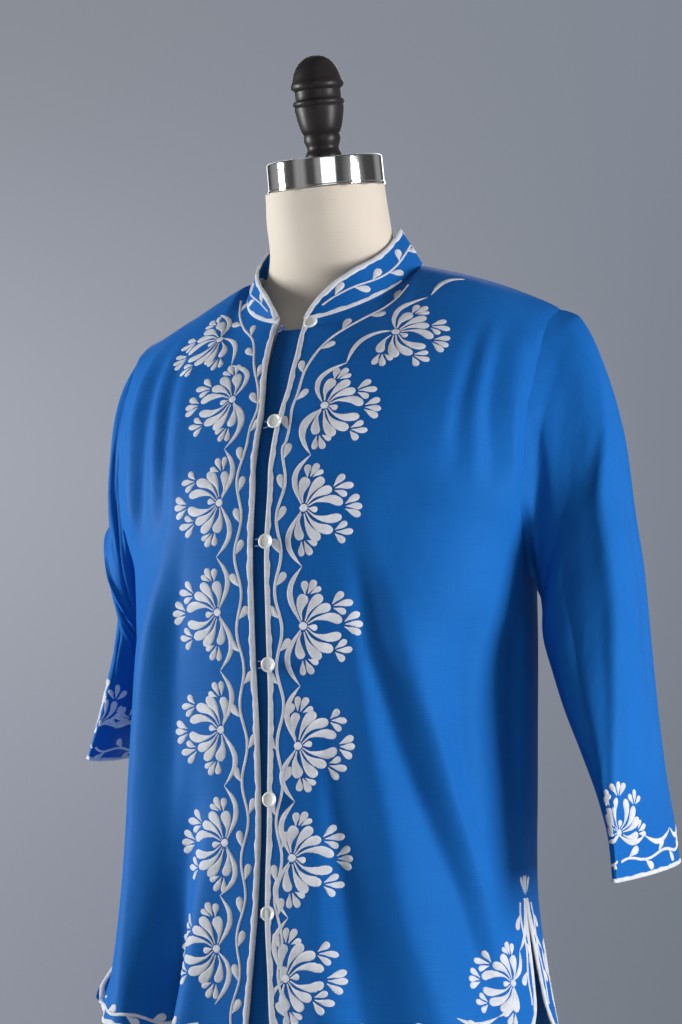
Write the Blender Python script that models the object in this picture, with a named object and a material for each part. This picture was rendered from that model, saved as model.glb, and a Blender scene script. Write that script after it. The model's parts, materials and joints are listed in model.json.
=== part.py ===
"""Embroidered blouse on a limbless dress form, one solid for each piece a maker cuts or sews on.

Metres, +Z up. The front faces -Y and the wearer's left is +X. The origin is the middle of the
stand base's underside.
"""

import bpy
import bmesh
import numpy as np
from math import cos, pi, radians, sin
from mathutils import Vector
from mathutils.bvhtree import BVHTree

# Cloth
WALL = 0.0015  # doubled hems and seams make the poplin about this thick where it shows
GAP = 0.0003  # between pieces that meet
TRIM_WALL = 0.0010
BAND_W, CUFF_BAND_W = 0.0050, 0.0032  # satin-stitched edges
UNDERLAP_X = 0.016  # half its width
UNDERLAP_SET_BACK = 0.0003
UNDERLAP_LEVELS = (0.02, 0.965)
REST_ON_FORM = 0.0009  # the cloth's middle surface stays this far plus half a wall off the form

# Body of the blouse, half of it: the other half is its mirror image
NECK_X, NECK_SIDE_Y, NECK_SIDE_Z = 0.083, 0.012, 0.910
NECK_FRONT_Y, NECK_FRONT_Z = -0.070, 0.850
NECK_BACK_Y, NECK_BACK_Z = 0.078, 0.893
SHOULDER_X, SHOULDER_Y, SHOULDER_Z = 0.211, 0.026, 0.862
SEAM_BOW = {1: 0.005, -1: -0.002}  # how far a shoulder seam rises over a straight line, left and right
NECK_SHARE = 3 / 7  # of a panel's width at the top, the rest being the shoulder seam
HEM_Z, SLIT_TOP_Z = 0.232, 0.365
CORNER_R = 0.030  # round hem corners beside the slits
STEADY_SHARE = 0.72  # of the width, which the rounding of a corner leaves as it is
FRONT_SQUARE = 1.15  # above 1 flattens a row's middle

# One row for each level of a half panel, hem to chest. "turn" is how far round the side
# the row has turned at its outer end, in degrees.
ROW = ("level", "mid_z", "side_z", "side_x", "mid_y", "side_y", "turn")
FRONT_ROWS = (
    (0.00, HEM_Z, HEM_Z + 0.008, 0.197, -0.136, -0.008, 90),
    (0.11, 0.300, 0.303, 0.189, -0.133, 0.001, 90),
    (0.21, 0.367, SLIT_TOP_Z, 0.185, -0.1300, 0.000, 90),
    (0.31, 0.433, 0.430, 0.1865, -0.1275, 0.003, 90),
    (0.42, 0.505, 0.500, 0.1875, -0.1275, 0.005, 90),
    (0.52, 0.572, 0.565, 0.1885, -0.131, 0.004, 90),
    (0.62, 0.640, 0.630, 0.1885, -0.135, 0.004, 88),
    (0.71, 0.700, 0.690, 0.1985, -0.129, -0.036, 74),
    (0.79, 0.752, 0.748, 0.203, -0.116, -0.036, 68),
    (0.875, 0.802, 0.806, 0.2065, -0.096, -0.018, 60),
)
BACK_ROWS = (
    (0.00, HEM_Z, HEM_Z + 0.006, 0.198, 0.146, 0.018, 90),
    (0.11, 0.300, 0.303, 0.190, 0.142, 0.008, 90),
    (0.21, 0.367, SLIT_TOP_Z, 0.185, 0.137, 0.000, 90),
    (0.31, 0.433, 0.430, 0.1865, 0.131, 0.003, 90),
    (0.42, 0.505, 0.500, 0.1875, 0.125, 0.005, 90),
    (0.52, 0.572, 0.565, 0.1885, 0.124, 0.004, 90),
    (0.62, 0.645, 0.630, 0.1885, 0.128, 0.004, 88),
    (0.71, 0.715, 0.690, 0.1965, 0.130, 0.050, 74),
    (0.79, 0.778, 0.748, 0.201, 0.125, 0.064, 66),
    (0.875, 0.838, 0.806, 0.206, 0.108, 0.058, 58),
)
# How the row beside the neckline and shoulder seam lies off them, at shares of its width
NEAR_TOP_LEVEL = 0.955
NEAR_TOP = (
    (0.00, 0.000, 0.010, -0.018), (0.24, 0.004, 0.012, -0.015), (NECK_SHARE, 0.006, 0.018, -0.0075),
    (0.70, 0.000, 0.024, -0.0075), (1.00, -0.003, 0.020, -0.0135),
)
ARMPIT_LEVEL, SLIT_LEVEL = 0.62, 0.21
LEFT, RIGHT = 1, -1  # the wearer's
# How far each flap beside a slit swings out, back and up at the hem
FLARE = {("front", LEFT): (0.004, 0.0, 0.0), ("front", RIGHT): (0.017, -0.021, 0.016),
         ("back", LEFT): (0.004, 0.0, 0.0), ("back", RIGHT): (0.014, 0.0, 0.0)}

# Half the opening between the front edges, and how far its middle drifts to the wearer's left, by height
EDGES = (
    (0.232, 0.0125, 0.0060), (0.252, 0.0103, 0.0058), (0.289, 0.0075, 0.0055), (0.339, 0.0038, 0.0048),
    (0.387, 0.0026, 0.0046), (0.433, 0.0024, 0.0036), (0.486, 0.0030, 0.0022), (0.545, 0.0042, 0.0003),
    (0.590, 0.0043, -0.0003), (0.649, 0.0044, -0.0006), (0.694, 0.0049, -0.0010), (0.718, 0.0054, -0.0022),
    (0.743, 0.0060, -0.0020), (0.763, 0.0070, -0.0008), (0.782, 0.0095, -0.0010), (0.797, 0.0108, -0.0025),
    (0.819, 0.0122, -0.0042), (0.836, 0.0120, -0.0058), (0.850, 0.0118, -0.0060),
)

# Soft troughs and ridges in the body: where each starts and ends (across, height), its half
# width and its depth (minus is a trough). "part" is the side of the panel that it lies on.
FOLD = ("part", "x1", "z1", "x2", "z2", "half_width", "depth")
BODY_FOLDS = (
    ("front", -0.100, 0.46, -0.106, 0.20, 0.017, -0.026),
    ("front", -0.062, 0.44, -0.070, 0.20, 0.020, 0.008),
    ("front", -0.150, 0.42, -0.160, 0.20, 0.024, 0.010),
    ("front", 0.155, 0.76, 0.060, 0.52, 0.028, -0.004),
    ("front", -0.150, 0.78, -0.075, 0.50, 0.024, -0.004),
    ("front", 0.128, 0.62, 0.105, 0.20, 0.024, -0.007),
    ("front", 0.070, 0.46, 0.080, 0.20, 0.026, 0.006),
    ("back", -0.100, 0.56, -0.120, 0.20, 0.026, -0.010),
    ("back", 0.010, 0.62, 0.020, 0.20, 0.030, -0.008),
    ("back", 0.105, 0.58, 0.130, 0.20, 0.024, -0.011),
    ("back", 0.130, 0.80, 0.050, 0.56, 0.026, -0.004),
    ("back", -0.130, 0.80, -0.050, 0.58, 0.024, -0.004),
)

# Sleeves: rings below the armhole. Outer and inner points, the middle's share of the way from
# outer to inner, its y, the half depth, and how sharp the pressed front and back creases are.
RING = ("outer_x", "outer_z", "inner_x", "inner_z", "share", "mid_y", "half_depth", "crease", "turned")
LEFT_RINGS = (
    (0.2330, 0.849, 0.1970, 0.616, 0.50, 0.018, 0.055, 0.00, 0.00),
    (0.2450, 0.826, 0.1985, 0.606, 0.50, 0.016, 0.058, 0.00, 0.00),
    (0.262, 0.750, 0.2020, 0.586, 0.45, 0.016, 0.062, 0.10, 0.00),
    (0.273, 0.690, 0.2060, 0.566, 0.40, 0.017, 0.065, 0.25, 0.02),
    (0.281, 0.630, 0.2120, 0.544, 0.36, 0.018, 0.067, 0.40, 0.04),
    (0.287, 0.570, 0.2220, 0.512, 0.33, 0.019, 0.067, 0.50, 0.06),
    (0.291, 0.510, 0.2380, 0.474, 0.32, 0.021, 0.066, 0.55, 0.08),
    (0.295, 0.450, 0.2560, 0.433, 0.36, 0.023, 0.066, 0.55, 0.10),
    (0.297, 0.408, 0.2680, 0.401, 0.44, 0.025, 0.065, 0.50, 0.10),
    (0.297, 0.375, 0.2730, 0.373, 0.50, 0.027, 0.065, 0.45, 0.10),
)
RIGHT_RINGS = (
    (0.221, 0.824, 0.1985, 0.608, 0.50, 0.020, 0.054, 0.00, 0.00),
    (0.226, 0.765, 0.2000, 0.598, 0.50, 0.028, 0.055, 0.05, 0.00),
    (0.235, 0.715, 0.2010, 0.588, 0.50, 0.036, 0.055, 0.10, 0.00),
    (0.243, 0.686, 0.2020, 0.578, 0.50, 0.043, 0.055, 0.10, 0.00),
    (0.241, 0.664, 0.2030, 0.565, 0.50, 0.050, 0.053, 0.10, 0.00),
    (0.235, 0.636, 0.2040, 0.553, 0.50, 0.054, 0.054, 0.15, 0.00),
    (0.237, 0.600, 0.2070, 0.538, 0.50, 0.054, 0.059, 0.25, 0.02),
    (0.246, 0.550, 0.2160, 0.516, 0.50, 0.051, 0.062, 0.35, 0.06),
    (0.259, 0.482, 0.2420, 0.474, 0.50, 0.048, 0.061, 0.40, 0.10),
)
CUFF_TILT = 0.12  # the front of a cuff hangs lower than its back by this share of its depth

# Collar, by the way round the neck, 0 at the front edge and 1 at the middle of the back,
# and how high it stands and leans in to the neck on the wearer's left and right.
COLLAR_SHARES = (0.0, 0.14, 0.5, 0.9, 1.0)  # rows of the stand, by share of its height
COLLAR = (
    (0.00, 0.006, 0.006, 0.001, 0.001), (0.02, 0.014, 0.014, 0.002, 0.001),
    (0.06, 0.024, 0.023, 0.003, 0.003), (0.12, 0.033, 0.029, 0.006, 0.006),
    (0.22, 0.038, 0.031, 0.010, 0.009), (0.50, 0.037, 0.029, 0.0215, 0.011),
    (0.75, 0.035, 0.033, 0.024, 0.012), (1.00, 0.034, 0.034, 0.012, 0.012),
)

# Dress form: closed rings from the bottom up, front, side and back heights and reaches
FORM_RING = ("front_z", "side_z", "back_z", "half_x", "front_y", "back_y")
FORM_RINGS = (
    (0.215, 0.215, 0.215, 0.150, -0.098, 0.112),
    (0.260, 0.260, 0.260, 0.155, -0.102, 0.116),
    (0.330, 0.330, 0.330, 0.155, -0.102, 0.112),
    (0.400, 0.400, 0.400, 0.145, -0.097, 0.100),
    (0.470, 0.470, 0.470, 0.131, -0.093, 0.090),
    (0.530, 0.530, 0.530, 0.130, -0.094, 0.088),
    (0.590, 0.590, 0.590, 0.140, -0.106, 0.093),
    (0.650, 0.650, 0.650, 0.151, -0.117, 0.101),
    (0.700, 0.705, 0.710, 0.158, -0.114, 0.106),
    (0.745, 0.765, 0.765, 0.166, -0.098, 0.104),
    (0.785, 0.820, 0.810, 0.178, -0.081, 0.096),
    (0.812, 0.843, 0.842, 0.186, -0.067, 0.086),
    (0.834, 0.8635, 0.864, 0.176, -0.055, 0.077),
    (0.852, 0.8760, 0.881, 0.150, -0.047, 0.069),
    (0.863, 0.8860, 0.892, 0.118, -0.040, 0.061),
    (0.873, 0.8930, 0.901, 0.083, -0.038, 0.055),
    (0.886, 0.908, 0.913, 0.065, -0.043, 0.052),
    (0.915, 0.934, 0.931, 0.0578, -0.0495, 0.0475),
)
NECK_TILT = radians(12.6)
CAP_FOOT = (0.0, -0.013, 0.984)
NECK_SHIFT = 0.0040  # the neck's top lies this far in front of the cap's middle
# Rings of the neck under the cap: how far down the neck, and radius
NECK_RINGS = ((0.030, 0.0565), (0.012, 0.0550), (0.0003, 0.0545))
CAP_R, CAP_H, CAP_BEAD = 0.0525, 0.027, 0.0012
FINIAL_H = 0.094
# Finial profile: height share, radius
FINIAL = (
    (0.000, 0.0165), (0.030, 0.0165), (0.075, 0.0150), (0.110, 0.0145), (0.150, 0.0160),
    (0.230, 0.0165), (0.250, 0.0172), (0.460, 0.0222), (0.500, 0.0226), (0.520, 0.0236),
    (0.555, 0.0236), (0.575, 0.0214), (0.660, 0.0212), (0.680, 0.0236), (0.720, 0.0240),
    (0.760, 0.0222), (0.840, 0.0190), (0.920, 0.0136), (0.970, 0.0080),
)
POLE_R, BASE_R, BASE_H = 0.0160, 0.155, 0.014

# Button: height above the panel's middle surface and radius, from the shank to the dished top
BUTTON = (
    (0.0025, 0.0015), (0.0047, 0.0015), (0.0048, 0.0058), (0.0053, 0.0064), (0.0068, 0.0064),
    (0.0074, 0.0058), (0.0068, 0.0046), (0.0065, 0.0030),
)
# Where the buttons are: height, distance from the left front's edge
BUTTONS = (
    (0.845, 0.0110), (0.753, 0.0010), (0.649, 0.0050), (0.546, 0.0050), (0.433, 0.0050), (0.339, 0.0038),
)
LOOP_R, LOOP_TURN_R, LOOP_RISE = 0.0008, 0.0029, 0.0037
LOOSE_LOOP = ((0.0, 0.0030, 0.000), (0.0030, 0.0040, 0.0016), (0.0070, 0.0030, 0.0030),
              (0.0084, 0.0000, 0.0034), (0.0070, -0.0026, 0.0028), (0.0030, -0.0030, 0.0014),
              (0.0, -0.0020, 0.000))

BLUE, DEEP_BLUE, WHITE = (0.018, 0.13, 0.52), (0.010, 0.075, 0.33), (0.72, 0.74, 0.80)
IVORY, CHROME, BLACK, PEARL = (0.72, 0.64, 0.52), (0.80, 0.80, 0.82), (0.02, 0.018, 0.02), (0.85, 0.84, 0.80)

SIDE_STEPS = 14  # across a half panel
NECK_STEPS = round(SIDE_STEPS * NECK_SHARE)
ARM_LEVELS = 9  # armpit to shoulder
SLEEVE_STEPS = 17  # down a sleeve
FORM_STEPS = 32
# Close rows at the rounded hem corners, the first as wide as a band
HEM_LEVELS = (0.0, 0.008, 0.018, 0.032, 0.056)
SLIT_STEPS, BODY_STEPS = 3, 9  # from there to the slit's top and on to the armpit


def material(name, colour, roughness, metallic=0.0):
    finish = bpy.data.materials.new(name)
    finish.use_nodes = True
    shader = finish.node_tree.nodes["Principled BSDF"]
    shader.inputs["Base Color"].default_value = (*colour, 1.0)
    shader.inputs["Roughness"].default_value = roughness
    shader.inputs["Metallic"].default_value = metallic
    return finish


def put(name, points, faces, finish):
    """An object of these points and faces, its faces turned outward."""
    mesh = bpy.data.meshes.new(name)
    mesh.from_pydata([tuple(p) for p in points], [], [tuple(f) for f in faces])
    body = bmesh.new()
    body.from_mesh(mesh)
    bmesh.ops.recalc_face_normals(body, faces=body.faces)
    if body.calc_volume(signed=True) < 0:
        bmesh.ops.reverse_faces(body, faces=body.faces)
    bmesh.ops.triangulate(body, faces=body.faces)
    body.to_mesh(mesh)
    body.free()
    mesh.shade_smooth()
    mesh.set_sharp_from_angle(angle=radians(40))
    thing = bpy.data.objects.new(name, mesh)
    thing.data.materials.append(finish)
    bpy.context.collection.objects.link(thing)
    return thing


def smooth(keys, values, at):
    """Values at the places asked for, on a smooth curve through the keys that never overshoots."""
    keys, values = np.asarray(keys, float), np.asarray(values, float)
    at = np.clip(np.asarray(at, float), keys[0], keys[-1])
    column = (-1, *[1] * (values.ndim - 1))
    step = np.diff(keys)
    slope = np.diff(values, axis=0) / step.reshape(column)
    before, after = slope[:-1], slope[1:]
    total = np.where(np.abs(before + after) < 1e-12, 1.0, before + after)
    inner = np.where(before * after > 0, 2 * before * after / total, 0)
    tangent = np.concatenate([slope[:1], inner, slope[-1:]])
    index = np.clip(np.searchsorted(keys, at, side="right") - 1, 0, len(keys) - 2)
    share = ((at - keys[index]) / step[index]).reshape(column)
    width = step[index].reshape(column)
    low, high = values[index], values[index + 1]
    rise = share * share * (3 - 2 * share)
    leave = (share**3 - 2 * share**2 + share) * width * tangent[index]
    arrive = (share**3 - share**2) * width * tangent[index + 1]
    return low + (high - low) * rise + leave + arrive


def read(table, at):
    """The second column of a two-column table, or the rest of a wider one, at these places."""
    table = np.array(table)
    values = table[:, 1] if table.shape[1] == 2 else table[:, 1:]
    return smooth(table[:, 0], values, at)


def unit(vectors):
    return vectors / np.maximum(np.linalg.norm(vectors, axis=-1, keepdims=True), 1e-12)


def curve_row(row, across):
    """Points of one level of a half panel, from its middle to its outer end."""
    turn = radians(row["turn"])
    x = row["side_x"] * np.sin(across * turn) / sin(turn)
    bend = np.clip((1 - np.cos(across * turn)) / (1 - cos(turn)), 0, None) ** FRONT_SQUARE
    y = row["mid_y"] + (row["side_y"] - row["mid_y"]) * bend
    z = row["mid_z"] + (row["side_z"] - row["mid_z"]) * across**2
    return np.stack([x, y, z], axis=1)


def top_row(across, mid_y, mid_z, side):
    """The neckline as far as NECK_SHARE, then the shoulder seam."""
    turn = np.clip(across / NECK_SHARE, 0, 1) * pi / 2
    x = NECK_X * np.sin(turn)
    y = mid_y + (NECK_SIDE_Y - mid_y) * (1 - np.cos(turn))
    z = mid_z + (NECK_SIDE_Z - mid_z) * (1 - np.cos(turn))
    along = np.clip((across - NECK_SHARE) / (1 - NECK_SHARE), 0, 1)[:, None]
    seam = np.array([SHOULDER_X - NECK_X, SHOULDER_Y - NECK_SIDE_Y, SHOULDER_Z - NECK_SIDE_Z])
    bow = np.array([0, 0, SEAM_BOW[side]]) * np.sin(along * pi)
    return np.stack([x, y, z], axis=1) + along * seam + bow


class HalfPanel:
    """Half of the front or the back: a smooth surface from its middle to its side, hem to shoulder."""

    def __init__(self, part, side):
        self.part, self.side = part, side
        self.way = -1 if part == "front" else 1
        table = FRONT_ROWS if part == "front" else BACK_ROWS
        self.mid_y = NECK_FRONT_Y if part == "front" else NECK_BACK_Y
        self.mid_z = NECK_FRONT_Z if part == "front" else NECK_BACK_Z
        self.rows = [dict(zip(ROW, values)) for values in table]
        self.keys = [row["level"] for row in self.rows] + [NEAR_TOP_LEVEL, 1.0]

    def smooth_row(self, level, across):
        """One level's points, before any fold."""
        curves = [curve_row(row, across) for row in self.rows]
        top = top_row(across, self.mid_y, self.mid_z, self.side)
        near = top + read(NEAR_TOP, across) * np.array([1, self.way, 1])
        points = smooth(self.keys, np.array(curves + [near, top]), [level])[0]
        swing = max(0, 1 - level / SLIT_LEVEL) ** 1.4 * np.clip(across, 0, 1)[:, None] ** 3
        points = (points + swing * np.array(FLARE[self.part, self.side])) * np.array([self.side, 1, 1])
        if self.part == "front":
            drift = read(EDGES, [points[0, 2]])[0, 1]
            points[:, 0] += drift * np.clip(1 - across / NECK_SHARE, 0, 1) ** 2
        return points

    def start(self, level):
        """Share of the width where this level begins: the front's edge stands off the middle."""
        if self.part == "back":
            return 0.0
        near = self.smooth_row(level, np.array([0.0, 0.02]))
        return float(read(EDGES, [near[0, 2]])[0, 0] * 0.02 / abs(near[1, 0] - near[0, 0]))

    def end(self, level):
        """Share of the width where this level ends: less than 1 at a rounded hem corner."""
        height = self.smooth_row(level, np.array([1.0]))[0, 2] - self.smooth_row(0, np.array([1.0]))[0, 2]
        if height >= CORNER_R:
            return 1.0
        cut = CORNER_R - (CORNER_R**2 - (CORNER_R - height) ** 2) ** 0.5
        return 1 - cut / 0.30

    def fold(self, points, across):
        """How far each point is moved out by the folds near it, fading at the seams."""
        x, z = points[:, 0], points[:, 2]
        moved = np.zeros(len(points))
        for values in BODY_FOLDS:
            fold = dict(zip(FOLD, values))
            if fold["part"] != self.part:
                continue
            dx, dz = fold["x2"] - fold["x1"], fold["z2"] - fold["z1"]
            length = (dx * dx + dz * dz) ** 0.5
            along = np.clip(((x - fold["x1"]) * dx + (z - fold["z1"]) * dz) / length**2, 0, 1)
            aside = ((x - fold["x1"]) * dz - (z - fold["z1"]) * dx) / length
            grow = along * along * (3 - 2 * along)
            if fold["z2"] > HEM_Z:
                grow = np.sin(along * pi) ** 2
            moved += fold["depth"] * grow * np.exp(-((aside / fold["half_width"]) ** 2))
        fade = np.clip((1 - across) / 0.15, 0, 1)
        return moved * fade * fade * (3 - 2 * fade)

    def row(self, level, across):
        """One level's points, folds and all."""
        points = self.smooth_row(level, across)
        ahead, behind = self.smooth_row(level, across + 0.01), self.smooth_row(level, across - 0.01)
        above = self.smooth_row(min(level + 0.01, 1), across)
        below = self.smooth_row(max(level - 0.01, 0), across)
        out = unit(np.cross(ahead - behind, above - below)) * self.side * -self.way
        return points + out * self.fold(points, across)[:, None]

    def grid(self, levels):
        """Points in even columns, with a column more at a band's width from each free edge."""
        even = np.arange(SIDE_STEPS + 1) / SIDE_STEPS
        rows = []
        for level in levels:
            first, last = self.start(level), self.end(level)
            near = self.smooth_row(level, np.array([0.0, 0.02, 0.98, 1.0]))
            band = BAND_W * 0.02 / np.linalg.norm(near[1::2] - near[::2], axis=1)
            shares = np.concatenate([even[:-1], [1 - band[1], 1]])
            if self.part == "front":
                shares = np.insert(shares, 1, band[0])
            across = shares + first * np.clip(1 - shares / NECK_SHARE, 0, 1)
            drawn = STEADY_SHARE + (across - STEADY_SHARE) * (last - STEADY_SHARE) / (1 - STEADY_SHARE)
            rows.append(self.row(level, np.where(across > STEADY_SHARE, drawn, across)))
        return np.array(rows)


def panel_levels():
    first = np.array(HEM_LEVELS)
    slit = np.linspace(first[-1], SLIT_LEVEL, SLIT_STEPS + 1)[1:]
    low = np.linspace(SLIT_LEVEL, ARMPIT_LEVEL, BODY_STEPS + 1)[1:]
    high = np.linspace(ARMPIT_LEVEL, 1, ARM_LEVELS + 1)[1:]
    return np.concatenate([first, slit, low, high])


def normals_of(grid, outward):
    """Unit normals of a grid of points, turned to the side that "outward" points to at its middle."""
    normal = unit(np.cross(np.gradient(grid, axis=1), np.gradient(grid, axis=0)))
    i, j = grid.shape[0] // 2, grid.shape[1] // 2
    return normal if normal[i, j] @ np.array(outward, float) > 0 else -normal


def shell(name, middle, normal, wall, finish, around=False):
    """A wall of even thickness on a grid of points, closed at its edges or round its tube."""
    rows, columns = middle.shape[:2]
    outer, inner = middle + normal * wall / 2, middle - normal * wall / 2
    points = np.concatenate([outer.reshape(-1, 3), inner.reshape(-1, 3)])
    count = rows * columns
    last = columns if around else columns - 1
    faces = []
    for i in range(rows - 1):
        for j in range(last):
            a, b = i * columns + j, i * columns + (j + 1) % columns
            faces.append((a, b, b + columns, a + columns))
            faces.append((a + count, a + columns + count, b + columns + count, b + count))
    ends = [(j, (j + 1) % columns) for j in range(last)]
    ends += [((rows - 1) * columns + b, (rows - 1) * columns + a) for a, b in ends]
    if not around:
        ends += [((i + 1) * columns, i * columns) for i in range(rows - 1)]
        ends += [((i + 1) * columns - 1, (i + 2) * columns - 1) for i in range(rows - 1)]
    faces += [(b, a, a + count, b + count) for a, b in ends]
    return put(name, points, faces, finish)


def lathe(name, profile, finish, steps, at=(0, 0, 0), axis=(0, 0, 1)):
    """A turned solid from (height, radius) pairs, standing at a place along an axis."""
    turn = 2 * pi * np.arange(steps) / steps
    rings = [np.stack([radius * np.cos(turn), radius * np.sin(turn), 0 * turn + height], 1)
             for height, radius in profile]
    ends = np.array([[0, 0, profile[0][0]], [0, 0, profile[-1][0]]])
    points = np.concatenate(rings + [ends])
    foot, tip = len(points) - 2, len(points) - 1
    faces = []
    for k in range(steps):
        n = (k + 1) % steps
        faces.append((foot, n, k))
        for level in range(len(profile) - 1):
            low, high = level * steps, (level + 1) * steps
            faces.append((low + k, low + n, high + n, high + k))
        high = (len(profile) - 1) * steps
        faces.append((high + k, high + n, tip))
    turned = Vector((0, 0, 1)).rotation_difference(Vector(axis)).to_matrix()
    return put(name, points @ np.array(turned).T + np.array(at), faces, finish)


def form_ring(row):
    """One closed ring of the dress form: a half ellipse in front and another behind."""
    turn = 2 * pi * np.arange(FORM_STEPS) / FORM_STEPS
    ahead = np.cos(turn)
    middle = (row["front_y"] + row["back_y"]) / 2
    reach = np.where(ahead > 0, row["front_y"], row["back_y"]) - middle
    rise = np.where(ahead > 0, row["front_z"], row["back_z"]) - row["side_z"]
    return np.stack([row["half_x"] * np.sin(turn), middle + reach * np.abs(ahead),
                     row["side_z"] + rise * np.abs(ahead) ** 1.5], 1)


def neck_axis():
    return np.array([0, -sin(NECK_TILT), cos(NECK_TILT)])


def dress_form(ivory):
    rings = [form_ring(dict(zip(FORM_RING, values))) for values in FORM_RINGS]
    turn = 2 * pi * np.arange(FORM_STEPS) / FORM_STEPS
    level = np.array([0, cos(NECK_TILT), sin(NECK_TILT)])
    round_neck = np.sin(turn)[:, None] * np.array([1, 0, 0]) - np.cos(turn)[:, None] * level
    top = np.array(CAP_FOOT) - level * NECK_SHIFT
    for down, radius in NECK_RINGS:
        rings.append(top - neck_axis() * down + radius * round_neck)
    count = len(rings)
    faces = []
    for i in range(count - 1):
        for k in range(FORM_STEPS):
            n = (k + 1) % FORM_STEPS
            low, high = i * FORM_STEPS, (i + 1) * FORM_STEPS
            faces.append((low + k, low + n, high + n, high + k))
    faces.append(tuple(reversed(range(FORM_STEPS))))
    faces.append(tuple(range((count - 1) * FORM_STEPS, count * FORM_STEPS)))
    return put("form_torso", np.concatenate(rings), faces, ivory)


def stand(chrome, black):
    lathe("neck_cap", [(GAP, CAP_R + CAP_BEAD), (CAP_BEAD * 2, CAP_R + CAP_BEAD), (CAP_BEAD * 3, CAP_R),
                       (CAP_H - 0.001, CAP_R), (CAP_H, CAP_R - 0.001)], chrome, 32, CAP_FOOT, neck_axis())
    foot = np.array(CAP_FOOT) + neck_axis() * (CAP_H + GAP)
    lathe("finial", [(share * FINIAL_H, radius) for share, radius in FINIAL], black, 20, foot, neck_axis())
    base = [(0, BASE_R - 0.002), (0.003, BASE_R), (BASE_H - 0.004, BASE_R), (BASE_H, BASE_R - 0.005)]
    lathe("stand_base", base, black, 48)
    pole = [(BASE_H + GAP, POLE_R), (FORM_RINGS[0][0] - GAP, POLE_R)]
    lathe("stand_pole", pole, black, 20)


def rest_on(grid, tree, clearance):
    """Points of the cloth that are too close to the form are moved out until they lie on it."""
    for i in range(grid.shape[0]):
        for j in range(grid.shape[1]):
            near, normal, _, _ = tree.find_nearest(Vector(grid[i, j]))
            offset = Vector(grid[i, j]) - near
            height = offset.length if offset.dot(normal) > 0 else -offset.length
            if height < clearance:
                grid[i, j] = np.array(near + normal * clearance)


def body_grids(tree):
    """Middle surfaces and normals of the two fronts and the back, seated on the form, seams shared."""
    levels = panel_levels()
    halves = {(part, side): HalfPanel(part, side).grid(levels)
              for part in ("front", "back") for side in (LEFT, RIGHT)}
    for grid in halves.values():
        rest_on(grid, tree, REST_ON_FORM + WALL / 2)
    back = np.concatenate([halves["back", RIGHT][:, ::-1], halves["back", LEFT][:, 1:]], axis=1)
    grids = {"front_left": halves["front", LEFT], "front_right": halves["front", RIGHT], "back": back}
    walls = {name: normals_of(grid, (0, 1 if name == "back" else -1, 0)) for name, grid in grids.items()}
    first = next(i for i, level in enumerate(levels) if level >= SLIT_LEVEL - 1e-6)
    armpit = next(i for i, level in enumerate(levels) if level >= ARMPIT_LEVEL - 1e-6)
    half = SIDE_STEPS + 1
    for name, side in (("front_left", LEFT), ("front_right", RIGHT)):
        pairs = [((i, -1), (i, half * (1 + side))) for i in range(first, armpit + 1)]
        pairs += [((-1, j + 1), (-1, half + side * j)) for j in range(NECK_STEPS, half + 1)]
        for one, other in pairs:
            shared = unit(walls[name][one] + walls["back"][other])
            walls[name][one] = walls["back"][other] = shared
            grids[name][one] -= np.array([0, GAP / 2, 0])
            grids["back"][other] += np.array([0, GAP / 2, 0])
    return grids, walls, armpit, first


def sleeve_rings(table, side, count):
    """Rings of one sleeve below the armhole, each from the underarm round the front to the underarm."""
    turn = -pi / 2 + 2 * pi * np.arange(count) / count
    rings = []
    for values in table:
        ring = dict(zip(RING, values))
        outer = np.array([ring["outer_x"], ring["mid_y"], ring["outer_z"]])
        inner = np.array([ring["inner_x"], ring["mid_y"], ring["inner_z"]])
        middle = outer + (inner - outer) * ring["share"]
        lean = np.array([ring["turned"], 1, CUFF_TILT]) * ring["half_depth"]
        across = np.sin(turn) * np.abs(np.sin(turn)) ** ring["crease"]
        reach = np.where(across[:, None] > 0, outer - middle, middle - inner)
        points = middle - np.cos(turn)[:, None] * lean + across[:, None] * reach
        rings.append(points * np.array([side, 1, 1]))
    return np.array(rings)


def sew_on(edge, edge_wall, own, own_wall, closed):
    """Shares the wall's direction between an edge and what is sewn to it, and parts them by GAP."""
    shared = unit(edge_wall + own_wall)
    if closed:
        run = np.roll(edge, -1, axis=0) - np.roll(edge, 1, axis=0)
    else:
        run = np.gradient(edge, axis=0)
    apart = unit(np.cross(unit(run), shared))
    if ((own - edge) * apart).sum() < 0:
        apart = -apart
    return shared, edge + apart * GAP


def sleeve(table, side, grids, walls, armpit):
    """A tube on the armhole's edge: its middle surface and normals."""
    name = "front_left" if side == LEFT else "front_right"
    edge = -1 if side == LEFT else 0
    hole = np.concatenate([grids[name][armpit:, -1], grids["back"][armpit:, edge][1:-1][::-1]])
    hole_wall = np.concatenate([walls[name][armpit:, -1], walls["back"][armpit:, edge][1:-1][::-1]])
    keyed = np.concatenate([[hole], sleeve_rings(table, side, len(hole))])
    reach = np.linalg.norm(np.diff(keyed.mean(axis=1), axis=0), axis=1)
    keys = np.concatenate([[0], np.cumsum(reach)]) / reach.sum()
    down = np.append(np.linspace(0, 1, SLEEVE_STEPS), 1 - CUFF_BAND_W / reach.sum())
    grid = smooth(keys, keyed, np.sort(down))
    ring = np.concatenate([grid[:, -1:], grid, grid[:, :1]], axis=1)
    wall = unit(np.cross(np.gradient(ring, axis=1), np.gradient(ring, axis=0)))[:, 1:-1]
    away = unit(grid - grid.mean(axis=1, keepdims=True))
    wall *= np.sign((wall * away).sum(axis=2).mean())
    shared, first = sew_on(hole, hole_wall, grid[1], wall[0], closed=True)
    grid[0], wall[0] = first, shared
    rise = len(grids[name]) - armpit
    walls[name][armpit:, -1] = shared[:rise]
    walls["back"][armpit:, edge] = np.concatenate([shared[:1], shared[rise:][::-1], shared[rise - 1:rise]])
    return grid, wall


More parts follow.
